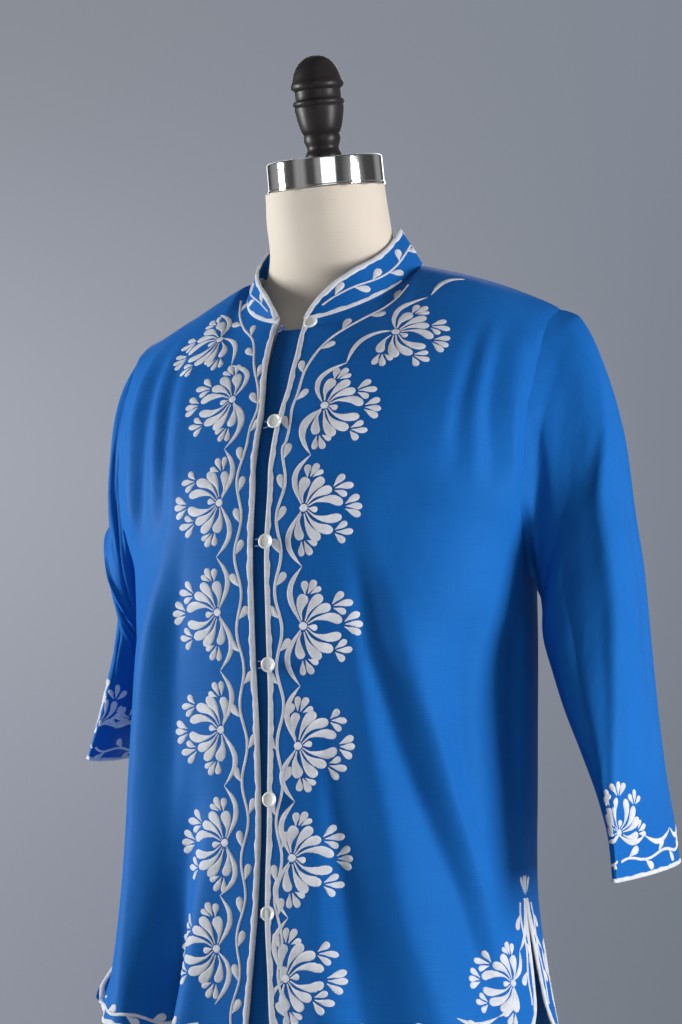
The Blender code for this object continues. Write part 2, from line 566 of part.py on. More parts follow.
def collar(grids, walls, tree):
    """The stand round the neckline, from the right front's edge round the back to the left front's."""
    last = NECK_STEPS + 1
    middle = slice(SIDE_STEPS + 2 - NECK_STEPS, SIDE_STEPS + 1 + NECK_STEPS)
    edge = np.concatenate([grids["front_right"][-1, :last + 1], grids["back"][-1, middle],
                           grids["front_left"][-1, :last + 1][::-1]])
    rim = np.concatenate([walls["front_right"][-1, :last + 1], walls["back"][-1, middle],
                          walls["front_left"][-1, :last + 1][::-1]])
    length = np.concatenate([[0], np.cumsum(np.linalg.norm(np.diff(edge, axis=0), axis=1))])
    half = length[-1] / 2
    sizes = read(COLLAR, 1 - np.abs(1 - length / half))
    height, lean = np.where((length > half)[:, None], sizes[:, 0::2], sizes[:, 1::2]).T
    inward = unit((np.array([0, NECK_SIDE_Y, 0]) - edge) * np.array([1, 1, 0]))
    rows = []
    for up in COLLAR_SHARES:
        rows.append(edge + np.array([0, 0, 1]) * (height * up)[:, None] + inward * (lean * up**1.2)[:, None])
    grid = np.array(rows)
    rest_on(grid[1:], tree, 2 * REST_ON_FORM + WALL / 2)
    wall = normals_of(grid, (0, -1, 0))
    wall *= np.sign((wall * -inward).sum(axis=2).mean())
    shared, first = sew_on(edge, rim, grid[1], wall[0], closed=False)
    grid[0], wall[0] = first, shared
    walls["front_right"][-1, :last + 1] = shared[:last + 1]
    walls["front_left"][-1, :last + 1] = shared[-last - 1:][::-1]
    walls["back"][-1, middle] = shared[last + 1:-last - 1]
    walls["back"][-1, middle.start - 1], walls["back"][-1, middle.stop] = shared[last], shared[-last - 1]
    return grid, wall


def band(name, grid, wall, cells, finish, around=False):
    """A strip on a piece's outer face, made from the piece's own points in these cells moved out."""
    columns = grid.shape[1]
    corners = []
    for i, j in cells:
        n = (j + 1) % columns if around else j + 1
        corners.append([i * columns + j, i * columns + n, (i + 1) * columns + n, (i + 1) * columns + j])
    used = sorted({corner for cell in corners for corner in cell})
    place = {corner: index for index, corner in enumerate(used)}
    flat, out = grid.reshape(-1, 3)[used], wall.reshape(-1, 3)[used]
    low = WALL / 2 + GAP
    points = np.concatenate([flat + out * (low + TRIM_WALL), flat + out * low])
    count = len(used)
    faces, sides = [], {}
    for cell in corners:
        ring = [place[corner] for corner in cell]
        faces += [tuple(ring), tuple(corner + count for corner in reversed(ring))]
        for a, b in zip(ring, ring[1:] + ring[:1]):
            if (b, a) in sides:
                del sides[b, a]
            else:
                sides[a, b] = True
    faces += [(b, a, a + count, b + count) for a, b in sides]
    return put(name, points, faces, finish)


def trims(grids, walls, sleeves, stand_up, first, white):
    """Bands down the fronts' edges, along the hem and up the slits, at the cuffs and on the collar."""
    for name in ("front_left", "front_right", "back"):
        rows, columns = np.array(grids[name].shape[:2]) - 1
        cells = [(0, j) for j in range(columns)] + [(i, columns - 1) for i in range(1, first)]
        cells += [(i, 0) for i in range(1, first if name == "back" else rows)]
        band("edge_" + name, grids[name], walls[name], cells, white)
    for name, (grid, wall) in sleeves.items():
        cells = [(len(grid) - 2, j) for j in range(grid.shape[1])]
        band("edge_" + name, grid, wall, cells, white, around=True)
    grid, wall = stand_up
    for name, row in (("foot", 0), ("top", len(grid) - 2)):
        band("edge_collar_" + name, grid, wall, [(row, j) for j in range(grid.shape[1] - 1)], white)


def underlap(blue):
    """The strip behind the left front's edge that closes the placket."""
    panel = HalfPanel("front", LEFT)
    other = HalfPanel("front", RIGHT)
    rows, normals = [], []
    for level in np.linspace(UNDERLAP_LEVELS[0], UNDERLAP_LEVELS[1], 20):
        step = panel.smooth_row(level, np.array([0.0, 0.02]))
        share = 0.02 / abs(step[1, 0] - step[0, 0])
        row = []
        for x in np.linspace(-UNDERLAP_X, UNDERLAP_X, 5):
            half = panel if x >= 0 else other
            row.append(half.smooth_row(level, np.array([abs(x) * share]))[0])
        rows.append(row)
    grid = np.array(rows)
    wall = normals_of(grid, (0, -1, 0))
    grid = grid - wall * (WALL + GAP + UNDERLAP_SET_BACK)
    shell("underlap", grid, wall, WALL, blue)


def tube(name, route, radius, finish, sides=6):
    """A round cord along a route of points, with flat ends."""
    route = np.array(route)
    along = unit(np.gradient(route, axis=0))
    level = unit(np.cross(along, np.array([0.3, -1.0, 0.2])))
    other = np.cross(along, level)
    turn = 2 * pi * np.arange(sides) / sides
    rings = [p + radius * (np.cos(turn)[:, None] * a + np.sin(turn)[:, None] * b)
             for p, a, b in zip(route, level, other)]
    faces = []
    for i in range(len(route) - 1):
        for k in range(sides):
            n = (k + 1) % sides
            faces.append((i * sides + k, i * sides + n, (i + 1) * sides + n, (i + 1) * sides + k))
    faces += [tuple(range(sides)), tuple(range((len(route) - 1) * sides, len(route) * sides))]
    return put(name, np.concatenate(rings), faces, finish)


def place_on_front(x, z):
    """A point of the fronts' middle surface, this far to the wearer's left, and its axes there."""
    side = LEFT if x >= 0 else RIGHT
    panel = HalfPanel("front", side)
    low, high = 0.0, 1.0
    for _ in range(30):
        level = (low + high) / 2
        near = panel.smooth_row(level, np.array([0.0, 0.02]))
        share = 0.02 * x / (near[1, 0] - near[0, 0])
        spot = panel.smooth_row(level, np.array([share]))[0]
        low, high = (level, high) if spot[2] < z else (low, level)
    beside = panel.smooth_row(level, np.array([share + 0.01]))[0]
    above = panel.smooth_row(min(level + 0.01, 1), np.array([share]))[0]
    below = panel.smooth_row(level - 0.01, np.array([share]))[0]
    right = unit(beside - spot) * side
    out = unit(np.cross(right, above - below))
    return spot, right, np.cross(out, right), out


def buttons_and_loops(pearl, blue):
    """Six buttons on the left front's edge, each in a loop from the right front's, the top one free."""
    for number, (z, inset) in enumerate(BUTTONS, 1):
        gap = read(EDGES, [z])[0, 0]
        spot, right, up, out = place_on_front(gap + inset, z)
        on_band = inset < BAND_W + BUTTON[0][1]
        profile = BUTTON if on_band else ((WALL / 2 + GAP, BUTTON[0][1]), *BUTTON[1:])
        lathe(f"button_{number}", profile, pearl, 16, spot, out)
        edge, edge_right, edge_up, edge_out = place_on_front(-gap + 2 * GAP + LOOP_R / 2, z)
        if number == 1:
            route = [edge + x * edge_right + y * edge_up + height * edge_out for x, y, height in LOOSE_LOOP]
        else:
            away, rise = (edge - spot) @ right, (edge - spot) @ out
            legs = ((away, rise), (away * 0.72, rise + (LOOP_RISE - rise) * 0.3),
                    (-inset - 0.0012, LOOP_RISE), (-inset / 3 - 0.0002, LOOP_RISE))
            turns = [pi / 2 - pi * k / 6 for k in range(7)]
            around = [(x, LOOP_TURN_R, height) for x, height in legs]
            around += [(LOOP_TURN_R * cos(turn), LOOP_TURN_R * sin(turn), LOOP_RISE) for turn in turns]
            around += [(x, -LOOP_TURN_R, height) for x, height in reversed(legs)]
            route = [spot + x * right + y * up + height * out for x, y, height in around]
        tube(f"loop_{number}", route, LOOP_R, blue)


def main():
    for thing in list(bpy.data.objects):
        bpy.data.objects.remove(thing, do_unlink=True)
    blue, white = material("blue poplin", BLUE, 0.6), material("white thread", WHITE, 0.7)
    deep = material("blue poplin in shade", DEEP_BLUE, 0.6)
    chrome, black = material("chrome", CHROME, 0.08, 1.0), material("black wood", BLACK, 0.35)
    form = dress_form(material("ivory jersey", IVORY, 0.85))
    stand(chrome, black)
    tree = BVHTree.FromObject(form, bpy.context.evaluated_depsgraph_get())
    grids, walls, armpit, first = body_grids(tree)
    sleeves = {"sleeve_left": sleeve(LEFT_RINGS, LEFT, grids, walls, armpit),
               "sleeve_right": sleeve(RIGHT_RINGS, RIGHT, grids, walls, armpit)}
    stand_up = collar(grids, walls, tree)
    for name, grid in grids.items():
        shell(name, grid, walls[name], WALL, blue)
    for name, (grid, wall) in sleeves.items():
        shell(name, grid, wall, WALL, blue, around=True)
    shell("collar", *stand_up, WALL, blue)
    underlap(deep)
    trims(grids, walls, sleeves, stand_up, first, white)
    buttons_and_loops(material("pearl", PEARL, 0.25), deep)


main()
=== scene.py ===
import json
from math import cos, pi, radians, sin

import bmesh
import bpy
import numpy as np
from mathutils import Matrix, Vector
from mathutils.bvhtree import BVHTree

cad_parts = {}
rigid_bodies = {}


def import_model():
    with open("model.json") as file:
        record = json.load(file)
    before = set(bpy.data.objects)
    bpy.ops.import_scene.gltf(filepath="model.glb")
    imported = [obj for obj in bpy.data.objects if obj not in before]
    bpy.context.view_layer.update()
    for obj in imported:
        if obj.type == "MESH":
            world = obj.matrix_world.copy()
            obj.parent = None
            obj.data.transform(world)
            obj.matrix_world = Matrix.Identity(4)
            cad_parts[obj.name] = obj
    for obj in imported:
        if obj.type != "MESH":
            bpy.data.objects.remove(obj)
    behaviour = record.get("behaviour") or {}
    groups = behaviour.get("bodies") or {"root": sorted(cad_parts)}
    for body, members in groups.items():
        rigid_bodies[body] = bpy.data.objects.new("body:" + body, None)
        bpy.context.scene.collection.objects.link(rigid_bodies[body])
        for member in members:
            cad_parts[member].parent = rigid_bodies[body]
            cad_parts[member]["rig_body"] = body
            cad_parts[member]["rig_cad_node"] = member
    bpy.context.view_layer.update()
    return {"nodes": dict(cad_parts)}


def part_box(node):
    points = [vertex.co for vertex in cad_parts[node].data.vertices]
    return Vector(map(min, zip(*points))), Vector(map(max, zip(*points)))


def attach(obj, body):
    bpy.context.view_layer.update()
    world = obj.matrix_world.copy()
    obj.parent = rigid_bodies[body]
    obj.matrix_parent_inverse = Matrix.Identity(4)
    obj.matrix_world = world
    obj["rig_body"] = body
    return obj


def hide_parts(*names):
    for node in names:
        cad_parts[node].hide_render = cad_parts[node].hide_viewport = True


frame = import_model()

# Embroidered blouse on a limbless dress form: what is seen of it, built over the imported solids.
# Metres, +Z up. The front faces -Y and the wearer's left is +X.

BASE_R, BASE_H = 0.155, 0.014
POLE_R, POLE_TOP = 0.0160, 0.2147
FLANGE_R, FLANGE_H = 0.034, 0.009
CLAMP_R, CLAMP_LOW, CLAMP_HIGH = 0.0195, 0.176, 0.198


def add(tree, kind, inputs=None, **settings):
    """A node of this kind, its inputs given values or fed by other nodes' outputs."""
    node = tree.nodes.new(kind)
    for name, value in settings.items():
        setattr(node, name, value)
    for name, value in (inputs or {}).items():
        if isinstance(value, bpy.types.NodeSocket):
            tree.links.new(value, node.inputs[name])
        else:
            node.inputs[name].default_value = value
    return node


def material(name, roughness, **sockets):
    """A new material and its shader, with what is the same all over set on the shader itself."""
    finish = bpy.data.materials.new(name)
    finish.use_nodes = True
    shader = finish.node_tree.nodes["Principled BSDF"]
    shader.inputs["Roughness"].default_value = roughness
    for socket, value in sockets.items():
        shader.inputs[socket.replace("_", " ")].default_value = value
    return finish, finish.node_tree, shader


def here(tree):
    """Places on the object itself, in metres."""
    return add(tree, "ShaderNodeTexCoord").outputs["Object"]


def noise(tree, place, scale, detail=2.0, roughness=0.5):
    """A noise with this many patches in a metre of its places."""
    sizes = {"Vector": place, "Scale": scale, "Detail": detail, "Roughness": roughness}
    return add(tree, "ShaderNodeTexNoise", sizes).outputs["Fac"]


def worked_out(tree, operation, *values):
    """What this operation makes of these values."""
    return add(tree, "ShaderNodeMath", dict(enumerate(values)), operation=operation).outputs[0]


def bumped(tree, shader, height, distance, strength):
    """Gives a shader, or a group's output, the normals of a fine relief."""
    bump = add(tree, "ShaderNodeBump", {"Height": height, "Distance": distance, "Strength": strength})
    tree.links.new(bump.outputs["Normal"], shader.inputs["Normal"])


def roughened(tree, shader, mask, low, high):
    """Lets a shader's roughness go from low to high over a mask."""
    rough = add(tree, "ShaderNodeMapRange", {"Value": mask, "To Min": low, "To Max": high})
    tree.links.new(rough.outputs["Result"], shader.inputs["Roughness"])


def ribbed(tree, shader, colour, mask, low, high, dark, light):
    """Darkens and lightens a shader's colour where a mask goes from low to high."""
    factor = add(tree, "ShaderNodeMapRange", {"Value": mask, "From Min": low, "From Max": high,
                                              "To Min": dark, "To Max": light})
    shade = add(tree, "ShaderNodeMix", {"Factor": 1.0}, data_type="RGBA", blend_type="MULTIPLY")
    tree.links.new(colour, shade.inputs[6])
    tree.links.new(factor.outputs["Result"], shade.inputs[7])
    tree.links.new(shade.outputs[2], shader.inputs["Base Color"])


def effect(name, inputs, outputs):
    """An empty node group with these inputs and outputs, and the two nodes that stand for them."""
    group = bpy.data.node_groups.new(name, "ShaderNodeTree")
    for title, kind, value in inputs:
        group.interface.new_socket(title, in_out="INPUT", socket_type=kind).default_value = value
    for title, kind in outputs:
        group.interface.new_socket(title, in_out="OUTPUT", socket_type=kind)
    return group, group.nodes.new("NodeGroupInput"), group.nodes.new("NodeGroupOutput")


# Soft unevenness: a slow drift between two tones and a faint roughness, as in any painted,
# knitted or woven surface. "Size" is how many patches there are in a metre.
uneven, uneven_in, uneven_out = effect(
    "soft unevenness",
    [("Tone", "NodeSocketColor", (0.5, 0.5, 0.5, 1)), ("Other tone", "NodeSocketColor", (0.4, 0.4, 0.4, 1)),
     ("Size", "NodeSocketFloat", 20.0)],
    [("Color", "NodeSocketColor"), ("Mask", "NodeSocketFloat")])
drift = noise(uneven, here(uneven), uneven_in.outputs["Size"], 4.0)
spread = add(uneven, "ShaderNodeMapRange", {"Value": drift, "From Min": 0.35, "From Max": 0.65})
mixed = add(uneven, "ShaderNodeMix", {"Factor": spread.outputs["Result"]}, data_type="RGBA")
uneven.links.new(uneven_in.outputs["Tone"], mixed.inputs[6])
uneven.links.new(uneven_in.outputs["Other tone"], mixed.inputs[7])
uneven.links.new(mixed.outputs[2], uneven_out.inputs["Color"])
uneven.links.new(spread.outputs["Result"], uneven_out.inputs["Mask"])


def tinted(tree, shader, tone, other, size):
    """Two near tones over the surface, and the group that lays them."""
    group = tree.nodes.new("ShaderNodeGroup")
    group.node_tree = uneven
    group.inputs["Tone"].default_value = (*tone, 1)
    group.inputs["Other tone"].default_value = (*other, 1)
    group.inputs["Size"].default_value = size
    tree.links.new(group.outputs["Color"], shader.inputs["Base Color"])
    return group


def settle(piece, name, finish, slot, *nodes):
    """Names a finished piece and lets it stand for its nodes of the frame."""
    piece.name = piece.data.name = name
    piece.data.materials.clear()
    piece.data.materials.append(finish)
    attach(piece, "root")
    if nodes:
        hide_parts(*nodes)
    return piece


def alone(piece):
    """Selects one object and nothing else."""
    bpy.ops.object.select_all(action="DESELECT")
    piece.select_set(True)
    bpy.context.view_layer.objects.active = piece


def turned(profile, steps, place=(0, 0, 0), lean=0.0):
    """A solid spun on a lathe from (radius, height) pairs that start and end on the axis."""
    mesh = bpy.data.meshes.new("turned")
    mesh.from_pydata([(r, 0, h) for r, h in profile], [(k, k + 1) for k in range(len(profile) - 1)], [])
    piece = bpy.data.objects.new("turned", mesh)
    bpy.context.collection.objects.link(piece)
    alone(piece)
    bpy.ops.object.mode_set(mode="EDIT")
    bpy.ops.mesh.select_all(action="SELECT")
    bpy.ops.mesh.spin(steps=steps, angle=2 * pi, center=(0, 0, 0), axis=(0, 0, 1))
    bpy.ops.mesh.select_all(action="SELECT")
    bpy.ops.mesh.remove_doubles(threshold=1e-6)
    bpy.ops.mesh.normals_make_consistent(inside=False)
    bpy.ops.object.mode_set(mode="OBJECT")
    piece.location, piece.rotation_euler = place, (lean, 0, 0)
    bpy.ops.object.transform_apply(location=True, rotation=True, scale=True)
    bpy.ops.object.shade_smooth_by_angle(angle=radians(35))
    return piece


satin_black, tree, shader = material("satin black paint", 0.38, Coat_Weight=0.15)
tinted(tree, shader, (0.016, 0.016, 0.018), (0.024, 0.023, 0.025), 60.0)
bumped(tree, shader, noise(tree, here(tree), 900.0), 0.0001, 0.3)

base = turned([(0, 0), (BASE_R - 0.002, 0), (BASE_R, 0.002), (BASE_R, BASE_H - 0.005),
               (BASE_R - 0.002, BASE_H - 0.002), (BASE_R - 0.007, BASE_H), (FLANGE_R + 0.008, BASE_H),
               (FLANGE_R, BASE_H + 0.002), (FLANGE_R - 0.002, BASE_H + FLANGE_H - 0.002),
               (FLANGE_R - 0.006, BASE_H + FLANGE_H), (0, BASE_H + FLANGE_H)], 128)
settle(base, "base_plate", satin_black, "black_metal", "stand_base")
pole = turned([(0, BASE_H), (POLE_R, BASE_H), (POLE_R, CLAMP_LOW), (CLAMP_R, CLAMP_LOW + 0.002),
               (CLAMP_R, CLAMP_HIGH - 0.002), (POLE_R, CLAMP_HIGH), (POLE_R, POLE_TOP), (0, POLE_TOP)], 64)
settle(pole, "pole_tube", satin_black, "black_metal", "stand_pole")

# Torso and neck of the dress form: a hollow moulded shape under one tight cover of ivory jersey,
# sewn at the sides and under the neck cap. The blouse hides it but for the neck and the lower edge.


def softened(node, levels, keep=50):
    """A rounder copy of a solid of the frame, its edges sharper than "keep" degrees kept."""
    source = frame["nodes"][node]
    piece = source.copy()
    piece.data = source.data.copy()
    piece.parent = None
    bpy.context.collection.objects.link(piece)
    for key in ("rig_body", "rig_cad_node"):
        if key in piece:
            del piece[key]
    body = bmesh.new()
    body.from_mesh(piece.data)
    bmesh.ops.remove_doubles(body, verts=body.verts, dist=1e-5)
    bmesh.ops.join_triangles(body, faces=body.faces, angle_face_threshold=radians(35),
                             angle_shape_threshold=radians(60))
    crease = body.edges.layers.float.get("crease_edge") or body.edges.layers.float.new("crease_edge")
    for edge in body.edges:
        if edge.is_manifold and edge.calc_face_angle(0) > radians(keep):
            edge[crease] = 1.0
    body.to_mesh(piece.data)
    body.free()
    alone(piece)
    rounder = piece.modifiers.new("rounder", "SUBSURF")
    rounder.levels = rounder.render_levels = levels
    bpy.ops.object.modifier_apply(modifier=rounder.name)
    bpy.ops.object.shade_smooth_by_angle(angle=radians(40))
    return piece


jersey, tree, shader = material("ivory jersey", 0.78, Sheen_Weight=0.20, Sheen_Roughness=0.5)
tinted(tree, shader, (0.68, 0.61, 0.53), (0.64, 0.57, 0.49), 9.0)
knit = add(tree, "ShaderNodeTexWave", {"Vector": here(tree), "Scale": 260.0, "Distortion": 1.5},
           wave_type="BANDS", bands_direction="Z")
pills = noise(tree, here(tree), 420.0, 3.0)
bumped(tree, shader, worked_out(tree, "ADD", knit.outputs["Fac"], pills), 0.0002, 0.35)
settle(softened("form_torso", 2), "torso_cover", jersey, "jersey", "form_torso")

# Neck cap: a pressed ring of chromed steel with a rolled bead at its foot and a flat lid.
# It slips over the raw edge of the jersey and leans forward with the neck.
NECK_LEAN = radians(12.6)
CAP_FOOT = (0.0, -0.013, 0.984)
CAP_R, CAP_H, CAP_BEAD, CAP_ROUND = 0.0525, 0.027, 0.0012, 0.0018
CAP_GAP = 0.0003  # between the neck and the cap, and between the cap and the finial

bead = [(CAP_R + CAP_BEAD * (0.15 + 0.85 * sin(turn)), 0.0016 - 0.0014 * cos(turn))
        for turn in np.linspace(0.0, pi, 9)]
rim = [(CAP_R - CAP_ROUND * (1 - cos(turn)), CAP_H - CAP_ROUND * (1 - sin(turn))) for turn in np.linspace(0, pi / 2, 7)]
cap = turned([(0, CAP_GAP), (CAP_R - 0.002, CAP_GAP)] + bead + rim
             + [(CAP_R - 0.006, CAP_H - 0.0004), (0, CAP_H - 0.0004)], 160, CAP_FOOT, NECK_LEAN)
chrome, tree, shader = material("polished chrome", 0.07, Metallic=1.0)
tinted(tree, shader, (0.88, 0.88, 0.90), (0.82, 0.825, 0.84), 30.0)
roughened(tree, shader, noise(tree, here(tree), 55.0, 5.0), 0.04, 0.13)
settle(cap, "neck_cap_ring", chrome, "chrome", "neck_cap")

# Finial: a knob of wood turned on a lathe, with a waisted foot, two rolls and a domed top,
# dipped in black lacquer. It screws into the lid of the neck cap.
FINIAL_H = 0.094
# Height share, radius
FINIAL = (
    (0.000, 0.0165), (0.030, 0.0168), (0.060, 0.0160), (0.085, 0.0148), (0.110, 0.0144), (0.150, 0.0158),
    (0.190, 0.0168), (0.225, 0.0166), (0.240, 0.0162), (0.252, 0.0172), (0.340, 0.0200), (0.460, 0.0222),
    (0.500, 0.0226), (0.510, 0.0222), (0.520, 0.0230), (0.535, 0.0238), (0.552, 0.0236), (0.566, 0.0226),
    (0.575, 0.0214), (0.610, 0.0210), (0.655, 0.0210), (0.668, 0.0222), (0.684, 0.0238), (0.715, 0.0242),
    (0.745, 0.0232), (0.765, 0.0224), (0.840, 0.0204), (0.920, 0.0160), (0.965, 0.0112), (0.990, 0.0060),
    (1.000, 0.0),
)


def smooth(keys, values, at):
    """Values at the places asked for, on a smooth curve through the keys that never overshoots."""
    keys, values = np.asarray(keys, float), np.asarray(values, float)
    at = np.clip(np.asarray(at, float), keys[0], keys[-1])
    column = (-1, *[1] * (values.ndim - 1))
    step = np.diff(keys)
    slope = np.diff(values, axis=0) / step.reshape(column)
    before, after = slope[:-1], slope[1:]
    total = np.where(np.abs(before + after) < 1e-12, 1.0, before + after)
    inner = np.where(before * after > 0, 2 * before * after / total, 0)
    tangent = np.concatenate([slope[:1], inner, slope[-1:]])
    index = np.clip(np.searchsorted(keys, at, side="right") - 1, 0, len(keys) - 2)
    share = ((at - keys[index]) / step[index]).reshape(column)
    width = step[index].reshape(column)
    low, high = values[index], values[index + 1]
    rise = share * share * (3 - 2 * share)
    leave = (share**3 - 2 * share**2 + share) * width * tangent[index]
    arrive = (share**3 - share**2) * width * tangent[index + 1]
    return low + (high - low) * rise + leave + arrive


keys = np.array(FINIAL)[:, 0]
shares = np.sort(np.concatenate([keys, (keys[1:] + keys[:-1]) / 2]))
knob = [(0, 0)] + [(max(r, 0), h * FINIAL_H) for h, r in zip(shares, smooth(keys, np.array(FINIAL)[:, 1], shares))]
stand_on = CAP_H + CAP_GAP
lid = (0, CAP_FOOT[1] - sin(NECK_LEAN) * stand_on, CAP_FOOT[2] + cos(NECK_LEAN) * stand_on)
finial = turned(knob, 96, lid, NECK_LEAN)
lacquer, tree, shader = material("black lacquered wood", 0.42, Coat_Weight=0.08, Coat_Roughness=0.25,
                                 Specular_IOR_Level=0.22)
tinted(tree, shader, (0.014, 0.012, 0.013), (0.022, 0.019, 0.020), 45.0)
pores = add(tree, "ShaderNodeMapping", {"Vector": here(tree), "Scale": (900.0, 900.0, 60.0)})
bumped(tree, shader, noise(tree, pores.outputs["Vector"], 1.0, 3.0), 0.0002, 0.35)
settle(finial, "turned_finial", lacquer, "black_wood", "finial")

# Fronts and back: three panels of blue polished poplin with a plain centre opening and open side
# slits, sewn at the shoulders and sides. They hang from the form's shoulders in soft folds.
WALL = 0.0015  # of the solids, whose outer faces the cloth follows
CLOTH = 0.0012  # how thick the cloth's edges look, hem and all
SEAM_GAP = 0.0001
REST_ON_FORM = 0.0009
NECK_X, NECK_SIDE_Y, NECK_SIDE_Z = 0.083, 0.012, 0.910
NECK_FRONT_Y, NECK_FRONT_Z = -0.070, 0.850
NECK_BACK_Y, NECK_BACK_Z = 0.078, 0.893
SHOULDER_X, SHOULDER_Y, SHOULDER_Z = 0.211, 0.026, 0.862
SEAM_BOW = {1: 0.005, -1: -0.002}
NECK_SHARE = 3 / 7
HEM_Z, SLIT_TOP_Z = 0.232, 0.365
CORNER_R, STEADY_SHARE, FRONT_SQUARE = 0.030, 0.72, 1.15
HALF_HEM = 0.30  # length of half a panel's hem
SIDE_FADE = 0.15  # share of the width over which the folds fade towards the side seam

ROW = ("level", "mid_z", "side_z", "side_x", "mid_y", "side_y", "turn")
FRONT_ROWS = (
    (0.00, HEM_Z, HEM_Z + 0.008, 0.197, -0.136, -0.008, 90),
    (0.11, 0.300, 0.303, 0.189, -0.133, 0.001, 90),
    (0.21, 0.367, SLIT_TOP_Z, 0.185, -0.1300, 0.000, 90),
    (0.31, 0.433, 0.430, 0.1865, -0.1275, 0.003, 90),
    (0.42, 0.505, 0.500, 0.1875, -0.1275, 0.005, 90),
    (0.52, 0.572, 0.565, 0.1885, -0.131, 0.004, 90),
    (0.62, 0.640, 0.630, 0.1885, -0.135, 0.004, 88),
    (0.71, 0.700, 0.690, 0.1985, -0.129, -0.036, 74),
    (0.79, 0.752, 0.748, 0.203, -0.116, -0.036, 68),
    (0.875, 0.802, 0.806, 0.2065, -0.096, -0.018, 60),
)
BACK_ROWS = (
    (0.00, HEM_Z, HEM_Z + 0.006, 0.198, 0.146, 0.018, 90),
    (0.11, 0.300, 0.303, 0.190, 0.142, 0.008, 90),
    (0.21, 0.367, SLIT_TOP_Z, 0.185, 0.137, 0.000, 90),
    (0.31, 0.433, 0.430, 0.1865, 0.131, 0.003, 90),
    (0.42, 0.505, 0.500, 0.1875, 0.125, 0.005, 90),
    (0.52, 0.572, 0.565, 0.1885, 0.124, 0.004, 90),
    (0.62, 0.645, 0.630, 0.1885, 0.128, 0.004, 88),
    (0.71, 0.715, 0.690, 0.1965, 0.130, 0.050, 74),
    (0.79, 0.778, 0.748, 0.201, 0.125, 0.064, 66),
    (0.875, 0.838, 0.806, 0.206, 0.108, 0.058, 58),
)
NEAR_TOP_LEVEL = 0.955
NEAR_TOP = (
    (0.00, 0.000, 0.010, -0.018), (0.24, 0.004, 0.012, -0.015), (NECK_SHARE, 0.006, 0.018, -0.0075),
    (0.70, 0.000, 0.024, -0.0075), (1.00, -0.003, 0.020, -0.0135),
)
ARMPIT_LEVEL, SLIT_LEVEL, HEM_LEVEL = 0.62, 0.21, 0.056
LEFT, RIGHT = 1, -1
# How far the lower corners swing out below the slits, and how late
FLARE_CURVE = 1.4
FLARE = {("front", LEFT): (0.004, 0.0, 0.0), ("front", RIGHT): (0.018, -0.027, 0.028),
         ("back", LEFT): (0.004, 0.0, 0.0), ("back", RIGHT): (0.014, 0.0, 0.0)}
# Height, how far a front's edge stands off the middle, how far the middle itself drifts sideways
EDGES = (
    (0.232, 0.0125, 0.0060), (0.252, 0.0103, 0.0058), (0.289, 0.0075, 0.0055), (0.339, 0.0038, 0.0048),
    (0.387, 0.0026, 0.0046), (0.433, 0.0024, 0.0036), (0.486, 0.0030, 0.0022), (0.545, 0.0042, 0.0003),
    (0.590, 0.0043, -0.0003), (0.649, 0.0044, -0.0006), (0.694, 0.0049, -0.0010), (0.718, 0.0054, -0.0022),
    (0.743, 0.0060, -0.0020), (0.763, 0.0070, -0.0008), (0.782, 0.0095, -0.0010), (0.797, 0.0108, -0.0025),
    (0.819, 0.0122, -0.0042), (0.836, 0.0120, -0.0058), (0.850, 0.0118, -0.0060),
)

# The broad troughs (minus) and ridges of the body, from one end to the other
FOLD = ("part", "x1", "z1", "x2", "z2", "half_width", "depth")
BODY_FOLDS = (
    ("front", -0.068, 0.47, -0.112, 0.20, 0.017, -0.024),
    ("front", -0.045, 0.44, -0.086, 0.20, 0.018, 0.008),
    ("front", -0.150, 0.42, -0.160, 0.20, 0.024, 0.010),
    ("front", 0.155, 0.76, 0.060, 0.52, 0.028, -0.004),
    ("front", -0.150, 0.78, -0.075, 0.50, 0.024, -0.004),
    ("front", 0.070, 0.46, 0.080, 0.20, 0.026, 0.006),
    ("back", -0.100, 0.56, -0.120, 0.20, 0.026, -0.010),
    ("back", 0.010, 0.62, 0.020, 0.20, 0.030, -0.008),
    ("back", 0.105, 0.58, 0.130, 0.20, 0.024, -0.011),
    ("back", 0.130, 0.80, 0.050, 0.56, 0.026, -0.004),
    ("back", -0.130, 0.80, -0.050, 0.58, 0.024, -0.004),
)
# The back's creases between them, in millimetres: half width, depth, how sharp, x and z along each
BACK_CREASES = (
    (11, 2.4, 0.2, ((-70, 640), (-78, 520), (-84, 400), (-90, 225))),
    (12, -2.4, 0, ((-52, 640), (-54, 520), (-58, 400), (-60, 225))),
    (11, 2.2, 0.2, ((62, 640), (70, 520), (76, 400), (84, 225))),
    (12, -2.2, 0, ((42, 620), (46, 500), (48, 380), (50, 225))),
    (10, 2.2, 0, ((150, 640), (158, 540), (160, 420), (164, 225))),
    (10, 2.2, 0, ((-150, 640), (-158, 540), (-158, 420), (-160, 225))),
    (8, -1.6, 0, ((180, 770), (165, 720), (140, 680), (110, 660))),
    (8, -1.6, 0, ((-182, 770), (-166, 720), (-138, 680), (-108, 660))),
    (8, 1.4, 0, ((178, 730), (150, 680), (118, 640))),
    (8, 1.4, 0, ((-178, 730), (-150, 680), (-118, 640))),
    (9, -1.4, 0, ((30, 860), (20, 820), (14, 770))),
    (9, -1.4, 0, ((-40, 858), (-28, 815), (-22, 760))),
)
